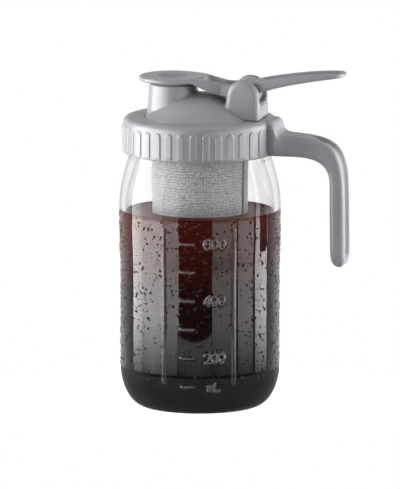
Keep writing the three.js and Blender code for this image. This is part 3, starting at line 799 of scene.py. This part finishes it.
# Marks on the glass
def glyph(letter):
    """Strokes of a character, in a box one high and one wide."""
    if letter == "0":
        return [arc((0.5, 0.5), 0.5, 0, 360, 20)]
    if letter == "6":
        return [spline([(0.92, 0.9), (0.5, 1), (0.1, 0.78), (0, 0.4), (0.12, 0.1), (0.5, 0), (0.88, 0.1),
                        (1, 0.32), (0.86, 0.53), (0.5, 0.6), (0.14, 0.5), (0.02, 0.34)], 4)]
    if letter == "4":
        return [np.array([(0.72, 0), (0.72, 1), (0, 0.28), (1, 0.28)])]
    if letter == "2":
        curve = [(0.02, 0.78), (0.18, 0.96), (0.5, 1), (0.84, 0.92), (0.94, 0.7), (0.76, 0.42), (0.36, 0.2),
                 (0, 0)]
        return [join(spline(curve, 4), (1, 0))]
    if letter == "m":
        return [np.array([(0, 0), (0, 0.66)]),
                spline([(0, 0.5), (0.2, 0.68), (0.42, 0.62), (0.5, 0.4), (0.5, 0)], 4),
                spline([(0.5, 0.5), (0.7, 0.68), (0.92, 0.62), (1, 0.4), (1, 0)], 4)]
    return [np.array([(0, 1), (0, 0), (0.9, 0)])]


def text_strokes(text, angle, z, height):
    """Characters side by side from an angle, their middle at a height."""
    strokes = []
    for place, letter in enumerate(text):
        low = np.array([angle * degree_length + place * numeral_pitch, z - height / 2])
        strokes += [low + line * (numeral_width, height) for line in glyph(letter)]
    return strokes


def scale_strokes():
    """Ticks, numerals and unit as lines of points: distance round the glass from the front, and height."""
    strokes = text_strokes("mL", unit_angle, tick_zs[0], unit_height)
    middle = tick_angle * degree_length
    for index, z in enumerate(tick_zs):
        strokes.append(np.array([(middle - tick_half_length, z), (middle + tick_half_length, z)]))
        strokes += text_strokes(numerals.get(index, ""), numeral_angle, z, numeral_height)
    return strokes


def raised(lines, half_width, s, z):
    """How far lines stand out, from 0 to 1, at distances round the glass and heights."""
    height = np.zeros(s.shape)
    foot, crest = half_width + scale_softness, half_width * mark_core_share
    for line in lines:
        height = np.maximum(height, smooth_step(foot, crest, distance_to(line, s, z)))
    return height


def mark_heights(s, z):
    """How far the ribs and the strokes stand out."""
    ribs = [np.array([(angle * degree_length, rib_foot_z), (angle * degree_length, rib_top_z)])
            for angle in rib_angles]
    return raised(ribs, rib_half_width, s, z), raised(scale_strokes(), stroke_half_width, s, z)


def distance_to(line, s, z):
    best = np.full(s.shape, 1.0)
    for a, b in zip(line, line[1:]):
        step = b - a
        length = max(1e-12, float(step @ step))
        t = np.clip(((s - a[0]) * step[0] + (z - a[1]) * step[1]) / length, 0, 1)
        best = np.minimum(best, np.hypot(s - a[0] - t * step[0], z - a[1] - t * step[1]))
    return best


def thread_height(line, angles, start_z):
    """How far the thread stands out at each height and angle."""
    z = line[:, 1:2]
    total = np.zeros((len(line), len(angles)))
    for turn in range(math.ceil(thread_turns)):
        share = (np.mod(angles, 360) / 360 + turn) / thread_turns
        fade = np.clip(np.minimum(share, 1 - share) / thread_fade, 0, 1)
        off = np.abs(z - (start_z + share * thread_turns * thread_pitch)[None, :])
        ridge = np.clip((thread_root_width / 2 - off) / (thread_root_width - thread_crest_width) * 2, 0, 1)
        total = np.maximum(total, ridge * fade * thread_rise)
    return total


# Jar
def shoulder_line(body, neck, lowered, steps):
    """Curve from the jar's body up to its neck, given their radii, its lower part lowered."""
    return bezier([
        (body, shoulder_z - lowered),
        (body, shoulder_z + shoulder_ease * shoulder_height),
        (neck + (body - neck) * shoulder_pull[0], shoulder_z + shoulder_pull[1] * shoulder_height - lowered),
        (neck, neck_z)], steps)


def jar_outer_line():
    swell_z = np.linspace(jar_corner_rise, shoulder_z, 40)
    swell = jar_body_swell * smooth_step(swell_low_z, swell_high_z, swell_z)
    body = np.stack([jar_body_radius + swell, swell_z], 1)
    return join(
        (0, 0),
        arc((jar_flat_radius, jar_corner_rise), (jar_corner_reach, jar_corner_rise), -90, 0, 24),
        body[1:-1],
        shoulder_line(shoulder_radius, neck_radius, 0, 40),
        (neck_radius, neck_band_top_z - neck_band_ease),
        (neck_radius - neck_band_ease, neck_band_top_z),
        (finish_radius, finish_foot_z),
        rounded(finish_radius, rim_z, lip_round, 0, 6))


def jar_inner_line():
    body_inside = jar_body_radius - glass_wall
    floor_radius_inside = jar_flat_radius - glass_wall / 2
    corner = arc((floor_radius_inside, jar_floor + inner_corner_rise),
                 (body_inside - floor_radius_inside, inner_corner_rise), 0, -90, 16)
    shoulder = shoulder_line(shoulder_radius - glass_wall, mouth_radius, glass_wall / 2, 24)[::-1]
    lip = rounded(mouth_radius, rim_z, lip_round, 90, 6)
    return join(lip, shoulder, corner, (0, jar_floor + floor_crown))


def jar_columns():
    """Angles of the columns, closer in front, where the scale is."""
    front = np.arange(*front_span, front_column_angle)
    rest = np.linspace(front_span[1], front_span[0] + 360, back_columns + 1)[:-1]
    return np.concatenate([front, rest])


def jar_relief(line, angles):
    on_outside = (np.arange(len(line)) < np.argmax(line[:, 1])) & (line[:, 0] > jar_flat_radius)
    s = np.broadcast_to(angles * degree_length, (len(line), len(angles)))
    z = np.broadcast_to(line[:, 1:2], s.shape)
    height = scale_rise * np.maximum(*mark_heights(s, z))
    height = np.maximum(height, thread_height(line, angles, thread_start_z))
    return height * on_outside[:, None]


def jar_row_spacing(z):
    """Rows lie closer along the scale and the neck."""
    below, above = fine_row_margins
    if rib_foot_z - below < z < rib_top_z + above or z > finish_foot_z:
        return fine_row
    return coarse_row


def add_mark_highlights(piece):
    """Writes the painted highlight on the jar's outside marks: white all over the strokes, and on the ribs'
    flanks, where raised glass would catch the light.
    """
    count = len(piece.data.vertices)
    points = np.zeros(3 * count)
    piece.data.vertices.foreach_get("co", points)
    x, y, z = points.reshape(-1, 3).T
    angle = np.degrees(np.arctan2(y, x))
    angle = np.where(angle > front_span[0] + 360, angle - 360, angle)
    ribs, strokes = mark_heights(angle * degree_length, z)
    # Painted highlight: full over the strokes, and strongest halfway up the ribs' flanks
    highlight_amount = np.maximum(strokes, 3 * ribs * (1 - ribs))
    outside = np.hypot(x, y) > jar_body_radius - glass_wall / 2
    layer = piece.data.attributes.new("painted_highlight", "FLOAT", "POINT")
    layer.data.foreach_set("value", highlight_amount * outside)


def make_jar():
    """Glass with its thread and scale. Returns its outline."""
    line = join(spaced(jar_outer_line(), jar_row_spacing), spaced(jar_inner_line(), inner_row)[1:])
    piece = skin("jar", turned(line, jar_columns(), relief=jar_relief), glass, sharp=60)
    add_mark_highlights(piece)
    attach(piece, "jar")
    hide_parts("glass_jar")
    return line


def make_coffee(jar_line):
    """Coffee against the jar's inner wall, with a meniscus, its surface in a material of its own."""
    inner = jar_line[np.argmax(jar_line[:, 1]):][::-1]
    wet = inner[inner[:, 1] < coffee_z]
    wall = np.maximum(0, wet + np.array([coffee_overlap, -coffee_overlap]) * (wet[:, :1] > 0))
    edge = value_at(inner[:, ::-1], coffee_z)
    reach = np.linspace(0, 1, 9)[:, None]
    meniscus = np.concatenate([edge + coffee_overlap - reach * meniscus_reach,
                               coffee_z + meniscus_rise * (1 - reach) ** 3], 1)
    line = join(wall, meniscus, (0, coffee_z))
    piece = lathe("coffee", line, coffee, sharp=50)
    piece.data.materials.append(coffee_surface)
    for face in piece.data.polygons:
        if face.normal.z > 0.2 and face.center.z > coffee_z - meniscus_rise / 2:
            face.material_index = 1
    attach(piece, "jar")


# Water drops on the outside of the glass
def make_drops():
    pick = random.Random(drop_seed)
    vertices, faces = [], []
    outer = jar_outer_line()[1:, ::-1]
    for _ in range(drop_count):
        z = drop_low_z + (coffee_z - drop_low_z) * pick.random() ** drop_height_power
        angle = pick.random() * 2 * math.pi
        size = drop_radius_low + (drop_radius_high - drop_radius_low) * pick.random() ** drop_size_power
        wall = value_at(outer, z)
        slope = (value_at(outer, z + size) - wall) / size
        out = Vector((math.cos(angle), math.sin(angle), -slope)).normalized()
        side = Vector((-math.sin(angle), math.cos(angle), 0))
        up = out.cross(side) * (1 + drop_stretch * pick.random())
        centre = Vector((wall * math.cos(angle), wall * math.sin(angle), z))
        uneven = [1 + drop_unevenness * (pick.random() - 0.5) for _ in range(drop_sides)]
        first = len(vertices)
        for share, rise in drop_rows:
            for k in range(drop_sides):
                turn = k * 2 * math.pi / drop_sides
                reach = size * share * uneven[k]
                vertices.append(centre + side * (reach * math.cos(turn)) + up * (reach * math.sin(turn))
                                + out * (size * drop_flatness * rise))
        vertices.append(centre + out * (size * drop_flatness))
        for row in range(len(drop_rows)):
            a = first + drop_sides * row
            for k in range(drop_sides):
                b = (k + 1) % drop_sides
                if row < len(drop_rows) - 1:
                    faces.append((a + k, a + b, a + drop_sides + b, a + drop_sides + k))
                else:
                    faces.append((a + k, a + b, a + drop_sides))
        faces.append(tuple(first + k for k in range(drop_sides))[::-1])
    piece = new_piece("water_drops", vertices, faces, water, sharp=80)
    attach(piece, "jar")


# Collar and handle
def collar_line():
    """Outline of the collar's wall, from the foot of its outside over the top to the foot of its inside."""
    ring_radius = dome_foot_radius + seat_gap
    wall = join(
        rounded(collar_radius, collar_bottom_z, collar_foot_round, -90, 4),
        rounded(collar_radius, collar_top_z, collar_shoulder_round, 0, 10),
        (ring_radius + collar_edge_ease, collar_top_z),
        (ring_radius, collar_top_z - collar_edge_ease),
        (ring_radius, ring_foot_z),
        (skirt_radius, ring_foot_z),
        (skirt_radius, collar_bottom_z))
    ribs_end_z = collar_top_z - collar_shoulder_round
    return spaced(wall, lambda z: collar_fine_row if z < ribs_end_z else collar_coarse_row)


def collar_relief(line, angles):
    """Ribs on the outside, rounded at their tops and left out at the handle, and the thread inside."""
    row = np.arange(len(line))
    top_row = np.argmax(line[:, 1])
    outside = (row < top_row) & (line[:, 0] > collar_radius - wall_tolerance)
    inside = (row > top_row) & (np.abs(line[:, 0] - skirt_radius) < wall_tolerance)
    pitch = 360 / grip_count
    s = (np.mod(angles - grip_turn, pitch) - pitch / 2) * math.radians(1) * collar_radius
    z = line[:, 1:2]
    end = grip_top_z - grip_half_width
    round_end = grip_half_width - np.hypot(s, z - end)
    straight = np.minimum(grip_half_width - np.abs(s), z - grip_foot_z)
    depth = np.where(z > end, round_end, straight)
    grip = grip_rise * smooth_step(0, grip_softness, depth)
    from_handle = np.minimum(np.mod(angles, 360), 360 - np.mod(angles, 360))
    grip = grip * (from_handle > handle_root_angle)
    thread = thread_height(line, angles, thread_start_z - thread_pitch / 2)
    return grip * outside[:, None] - thread * inside[:, None]


def handle_grid():
    """Sections across the handle, from its root to its tip."""
    fine = spline(handle_stations, 6)
    station = np.linspace(0, len(handle_stations) - 1, len(fine))
    first, last = handle_channel_span
    fade_in, fade_out = handle_channel_fades
    sections = []
    for (ox, oz, ix, iz, half), place in zip(fine, station):
        out = np.array([collar_radius + ox * handle_reach, collar_top_z - oz * handle_drop])
        into = np.array([collar_radius + ix * handle_reach, collar_top_z - iz * handle_drop])
        middle = (out + into) / 2
        depth = np.linalg.norm(out - into) / 2
        normal = (out - into) / (2 * depth)
        wide = half * handle_half_width
        corner = min(handle_corner_shares[0] * wide, handle_corner_shares[1] * depth)
        fade = smooth_step(first, first + fade_in, place) * smooth_step(last, last - fade_out, place)
        across = np.linspace(wide - corner, corner - wide, 26)[1:-1]
        floor_edge = (handle_channel_share - handle_channel_side) * wide
        dip = smooth_step(handle_channel_share * wide, floor_edge, np.abs(across))
        top = np.stack([across, depth - dip * fade * handle_channel_depth], 1)
        flat = bar_section(wide, -depth, depth, corner, top, 7)
        sections.append([(middle[0] + normal[0] * n, y, middle[1] + normal[1] * n) for y, n in flat])
    return np.array(sections)


def make_collar():
    """Ribbed collar and handle in one moulding."""
    columns = grip_count * columns_per_grip
    angles = np.arange(columns) * 360 / columns
    collar = skin("collar", turned(collar_line(), angles, relief=collar_relief), ring=True)
    handle = skin("handle", handle_grid(), caps=True)
    core = lathe("core", rectangle(0, 0, skirt_radius + core_play, collar_top_z + core_rise), segments=192)
    combine(collar, [combine(handle, [core])], "UNION")
    coat(collar, plastic)
    collar.data.shade_smooth()
    collar.data.set_sharp_from_angle(angle=math.radians(38))
    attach(collar, "lid")
    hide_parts("lid_collar")


# Dome with spout, ears and panel
def dome_z(radius):
    """Height of the dome, which falls with the square of the distance from its middle."""
    return dome_apex_z - dome_rise * (radius / dome_foot_radius) ** 2


def dome_line(foot_radius, foot_z, drop):
    """Outline of the dome lowered by drop, from the middle of its foot over its side to its top."""
    radius = np.linspace(foot_radius, 0, 40)
    return join((0, foot_z), (foot_radius, foot_z), np.stack([radius, dome_z(radius) - drop], 1))


def make_ears():
    """Two ears and the notched panel between them, standing on the dome's edge."""
    back_x = panel_inner_x + panel_thickness
    outline = join((hinge_x - ear_foot_front, ring_foot_z), (back_x, ring_foot_z),
                   arc((hinge_x, hinge_z), ear_radius, 0, 180, 40))
    ears = slab("ears", outline, ear_outer_y, ear_round)
    high = hinge_z + 2 * ear_radius
    far = 2 * back_x
    cutters = [
        block("gap", (0, -ear_inner_y, 0), (panel_inner_x, ear_inner_y, high)),
        block("above", (0, -ear_inner_y, panel_top_z), (far, ear_inner_y, high)),
        lathe("ring", rectangle(dome_foot_radius, 0, far, collar_top_z + seat_gap), ring=True),
    ]
    for share in panel_notch_shares:
        y = share * ear_inner_y
        low = (panel_inner_x - cut_overrun, y - panel_notch_width / 2, panel_top_z - panel_notch_depth)
        cutters.append(block("notch", low, (far, y + panel_notch_width / 2, high)))
    for y in (-ear_inner_y, ear_inner_y):
        cutters.append(block("groove", (back_x - panel_groove, y - panel_groove / 2, collar_top_z),
                             (far, y + panel_groove / 2, high)))
    return combine(ears, cutters)


def make_dome():
    """Dome, clamped flange, spout and ears in one moulding, with a hollow and a bore."""
    dome = lathe("dome", dome_line(dome_foot_radius, ring_foot_z - seat_gap, 0))
    rim = dome_foot_radius + dome_flange_lap
    flange_z = flange_high.z + dome_flange_clear
    flange = lathe("flange", rectangle(0, flange_z, rim, gasket_high.z))
    lip = rounded(spout_top_radius, spout_top_z, spout_lip_round, 0, 5)
    spout = lathe("spout", join((0, ring_foot_z), (spout_foot_radius, ring_foot_z), lip, (0, spout_top_z)),
                  centre_x=spout_x)
    below = flange_z - cut_overrun
    above = spout_top_z + cut_overrun
    hollow = lathe("hollow", dome_line(dome_foot_radius - dome_wall, below, dome_wall))
    bore = lathe("bore", [(0, below), (bore_foot_radius, below), (bore_top_radius, above), (0, above)],
                 centre_x=spout_x)
    piece = fused("dome_spout_and_hinge", [dome, flange, spout, make_ears()], [hollow, bore], plastic,
                  dome_voxel, 6)
    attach(piece, "lid")
    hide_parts("lid_dome")


# Rocking cap: plate, arm, hub and thumb lever
def placed(shares, from_x, to_x, to_z):
    """Points given in shares of the way from the hinge's height and from_x."""
    return [(from_x + (to_x - from_x) * along, hinge_z + (to_z - hinge_z) * up) for along, up in shares]


def rocker_lines():
    arm_top = placed(arm_top_shares, hinge_x, plate_x, plate_top_z)
    lever_top = placed(lever_top_shares, hinge_x, lever_tip_x, lever_top_z)
    arm_under = placed(arm_under_shares, hinge_x - hub_radius, spout_x + spout_top_radius, plate_under_z)
    lever_under = placed(lever_under_shares, hinge_x + hub_radius, lever_tip_x, lever_top_z)
    return spline(arm_top + lever_top, 10), spline(arm_under, 8), spline(lever_under, 8)


def flare_line():
    """Half width of the arm where it widens into the plate, as (x, half width) pairs."""
    start, control = flare_start_shares, flare_control_shares
    a = np.array([plate_x + start[0] * plate_radius, start[1] * plate_radius])
    b = np.array([plate_x + control[0] * plate_radius, control[1] * rocker_half_width])
    c = np.array([plate_x + flare_end_share * plate_radius, rocker_half_width])
    t = np.linspace(0, 1, 20)[:, None]
    return (1 - t) ** 2 * a + 2 * (1 - t) * t * b + t ** 2 * c


def rocker_places(start_x):
    """Where the bar's sections lie: closer over the hub and at the lever's round end."""
    hub = hinge_x + hub_radius * np.sin(np.linspace(-math.pi / 2, math.pi / 2, 25))
    round_x = lever_tip_x - lever_tip_round
    end = round_x + lever_tip_round * np.sin(np.linspace(0, math.pi / 2, 18))
    arm = np.linspace(start_x, hub[0], 60)[:-1]
    lever = np.linspace(hub[-1], round_x, 60)[1:-1]
    return np.concatenate([arm, hub, lever, end])


def rocker_under(x, arm_under, lever_under):
    """Height of the bar's under side."""
    if x < hinge_x - hub_radius:
        return value_at(arm_under, x)
    if x > hinge_x + hub_radius:
        return value_at(lever_under, x)
    side = arm_under[-1][1] if x < hinge_x else lever_under[0][1]
    return min(side, hinge_z - math.sqrt(max(0, hub_radius ** 2 - (x - hinge_x) ** 2)))


def between(shares, value):
    """1 on the middle stretch of four shares, fading to 0 at the outer ones."""
    a, b, c, d = shares
    return smooth_step(a, b, value) * smooth_step(d, c, value)


def channel_share(x):
    """How deep the channels along the arm's and the lever's tops are, from 0 to 1."""
    arm = between(arm_channel_shares, (x - hinge_x) / (plate_x - hinge_x))
    return arm + between(lever_channel_shares, (x - hinge_x) / lever_length)


def rocker_section(x, high, low, wide):
    """Section across the bar, with round edges and a channel in its top."""
    soft = min(rocker_edge_round, (high - low) * rocker_edge_share, wide * rocker_side_share)
    rim = min(rocker_rim, wide * rocker_side_share)
    depth = min(rocker_channel_depth * channel_share(x), (high - low) * rocker_channel_limit)
    across = np.linspace(wide - soft, soft - wide, 41)[1:-1]
    top = high - depth * smooth_step(wide - rim, wide - rim - rocker_channel_side, np.abs(across))
    return [(x, y, z) for y, z in bar_section(wide, low, high, soft, np.stack([across, top], 1), 4)]


def rocker_grid():
    top, arm_under, lever_under = rocker_lines()
    flare = flare_line()
    round_x = lever_tip_x - lever_tip_round
    sections = []
    for x in rocker_places(top[0][0]):
        high = value_at(top, x)
        low = rocker_under(x, arm_under, lever_under)
        wide = value_at(flare, x)
        if x > round_x:
            share = math.sqrt(max(0, 1 - ((x - round_x) / lever_tip_round) ** 2))
            wide *= max(rocker_thinnest_share, share)
        sections.append(rocker_section(x, high, low, wide))
    return np.array(sections)


def make_cap():
    """Plate with a thumb dish, skirt ring, bar and hub in one moulding."""
    ball = (dish_radius ** 2 + dish_depth ** 2) / (2 * dish_depth)
    reach = math.degrees(math.asin(dish_radius / ball))
    line = join(
        (0, plate_under_z),
        rounded(plate_radius, plate_under_z, plate_edge_round, -90, 6),
        rounded(plate_radius, plate_top_z, plate_edge_round, 0, 6),
        arc((0, plate_top_z - dish_depth + ball), ball, reach - 90, -90, 10))
    plate = lathe("plate", line, centre_x=plate_x, segments=180)
    outline = rectangle(seal_radius + skirt_ring_play, spout_top_z + seat_gap,
                        spout_top_radius, plate_under_z + cut_overrun / 2)
    ring = lathe("skirt_ring", outline, centre_x=spout_x, ring=True)
    bar = skin("bar", rocker_grid(), caps=True)
    barrel = slab("barrel", arc((hinge_x, hinge_z), ear_radius - seat_gap, *barrel_span, 24),
                  rocker_half_width, rocker_edge_round)
    piece = fused("cap_arm_and_lever", [plate, ring, bar, barrel], [], plastic, rocker_voxel, 5)
    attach(piece, "cap")
    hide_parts("rocking_cap")


# Filter basket
def make_basket():
    t = steel_thickness
    neck = mesh_radius + seat_gap
    top_z = flange_high.z
    foot_z = top_z - t
    flange = join(
        (finish_radius, foot_z), (finish_radius, top_z),
        rounded(dish_wall_radius - t, top_z, press_round, 90, 6),
        (dish_wall_radius - t, dish_floor_z + t), (neck, dish_floor_z + t),
        (neck, dish_floor_z - flange_neck_depth), (neck + t, dish_floor_z - flange_neck_depth),
        (neck + t, dish_floor_z),
        rounded(dish_wall_radius, dish_floor_z, press_round, -90, 6),
        (dish_wall_radius, foot_z))
    cup = join(
        (0, cup_floor_z - t),
        rounded(neck + t, cup_floor_z - t, press_round, -90, 6),
        (neck + t, cup_high.z), (neck, cup_high.z), (neck, cup_floor_z), (0, cup_floor_z))
    pieces = [(lathe("steel_flange", flange, steel, ring=True), "filter_flange", "steel"),
              (lathe("steel_cup", cup, steel), "filter_cup", "steel")]
    for piece, node, slot in pieces:
        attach(piece, "basket")
        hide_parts(node)


def make_mesh_tube():
    """Tube whose weave map runs round it and up it, in metres."""
    outline = rectangle(mesh_radius - mesh_wall, mesh_low.z, mesh_radius, mesh_high.z)
    piece = lathe("mesh_tube", outline, steel_mesh, segments=mesh_segments, ring=True)
    layer = piece.data.uv_layers.new(name="weave")
    places = [piece.data.vertices[loop.vertex_index].co.copy() for loop in piece.data.loops]
    for face in piece.data.polygons:
        turns = [math.atan2(places[i].y, places[i].x) for i in face.loop_indices]
        if max(turns) - min(turns) > math.pi:
            turns = [turn + 2 * math.pi if turn < 0 else turn for turn in turns]
        for i, turn in zip(face.loop_indices, turns):
            layer.data[i].uv = (turn * mesh_radius, places[i].z)
    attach(piece, "basket")
    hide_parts("filter_mesh")


# Stage and light
def flat_piece(name, corners, material):
    mesh = bpy.data.meshes.new(name)
    mesh.from_pydata([tuple(p) for p in corners], [], [tuple(range(len(corners)))])
    mesh.materials.append(material)
    return add_object(name, mesh)


def add_floor():
    """Disc that looks white to the camera and through glass."""
    turns = np.linspace(0, 2 * math.pi, floor_sides + 1)[:-1]
    points = [(floor_radius * math.cos(turn), floor_radius * math.sin(turn), -floor_drop) for turn in turns]
    material, nodes, shader, _ = material_with("pale_floor")
    seen = either_ray(nodes, "Is Camera Ray", "Is Transmission Ray")
    fill(shader, {"Roughness": 0.8, "Emission Color": (1, 1, 1, 1),
                  "Emission Strength": mix(nodes, seen, hidden_floor_glow, seen_floor_glow),
                  "Base Color": mix(nodes, seen, (0.3, 0.3, 0.3, 1), (0.8, 0.8, 0.8, 1), "RGBA")})
    flat_piece("floor", points, material)


def add_panel(name, bearing, spread_angle, distance, radiance, foot=None, head=(box_full_z, box_high_z)):
    """Soft box that fills spread_angle at a bearing from the camera's side, in degrees.

    foot and head give the heights between which its glow fades at either end.
    """
    out = toward(view_azimuth + math.radians(bearing))
    horizon_z = box_foot_rise - distance * math.tan(view_elevation)
    low_z, full_low_z = foot or (horizon_z, horizon_z + box_foot_fade)
    full_high_z, high_z = head
    side = out.cross(Vector((0, 0, 1))) * distance * math.tan(math.radians(spread_angle / 2))
    corners = [out * distance + side * way + Vector((0, 0, z))
               for way, z in ((-1, low_z), (1, low_z), (1, high_z), (-1, high_z))]
    material, nodes, shader, output = material_with(name)
    nodes.remove(shader)
    fade = calc(nodes, "MULTIPLY", object_height(nodes, low_z, full_low_z, radiance),
                object_height(nodes, high_z, full_high_z))
    fill(output, {"Surface": add_node(nodes, "Emission", {"Strength": fade}).outputs["Emission"]})
    panel = flat_piece(name, corners, material)
    panel.visible_camera = False
    panel.visible_transmission = False
    return panel


def add_lamp(name, place, energy):
    """Square soft lamp aimed at the lid, seen in no reflection."""
    data = bpy.data.lights.new(name, "AREA")
    data.size = lamp_size
    data.energy = energy
    lamp = add_object(name, data)
    lamp.location = place
    lamp.rotation_euler = (Vector((0, 0, collar_top_z)) - place).to_track_quat("-Z", "Y").to_euler()
    lamp.visible_camera = False
    lamp.visible_transmission = False
    lamp.visible_glossy = False


def add_lights():
    for name, *numbers in soft_boxes:
        panel = add_panel(name, *numbers)
        panel.visible_diffuse = name != "right_fill_near"
    add_panel(*low_card, foot=low_card_foot, head=low_card_head)
    add_lamp("top", Vector((0, 0, top_lamp_height)), top_lamp_energy)
    right = toward(view_azimuth + math.radians(right_lamp_bearing), math.radians(right_lamp_rise))
    add_lamp("right_soft", right * right_lamp_distance, right_lamp_energy)


def greys(stops):
    return [(place, (grey, grey, grey)) for place, grey in stops]


def add_world():
    """White to the camera and through glass. Reflections see it bright behind the object, dark in front."""
    world = bpy.data.worlds.new("studio")
    scene.world = world
    world.use_nodes = True
    nodes = world.node_tree.nodes
    place = add_node(nodes, "TexCoord").outputs["Generated"]
    dot = add_node(nodes, "VectorMath", {0: place, 1: toward(view_azimuth)}, operation="DOT_PRODUCT")
    near = add_node(nodes, "MapRange", {"Value": dot.outputs["Value"], "From Min": -1})
    height = add_node(nodes, "SeparateXYZ", {"Vector": place})
    dimmed = calc(nodes, "MULTIPLY", ramp(nodes, near.outputs["Result"], greys(world_fade)),
                  ramp(nodes, height.outputs["Z"], greys(world_belt)))
    path = add_node(nodes, "LightPath").outputs
    lit = mix(nodes, path["Is Glossy Ray"], world_fill, dimmed)
    seen = either_ray(nodes, "Is Camera Ray", "Is Transmission Ray")
    fill(nodes["Background"], {"Color": (1, 1, 1, 1), "Strength": mix(nodes, seen, lit, 1.0)})


def finish_cad_nodes():
    for name, material in (("lid_gasket", silicone), ("spout_seal", silicone), ("filter_seam", seam_steel)):
        coat(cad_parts[name], material)


add_camera()
add_floor()
add_lights()
add_world()
jar_line = make_jar()
make_coffee(jar_line)
make_drops()
make_collar()
make_dome()
make_cap()
make_basket()
make_mesh_tube()
finish_cad_nodes()
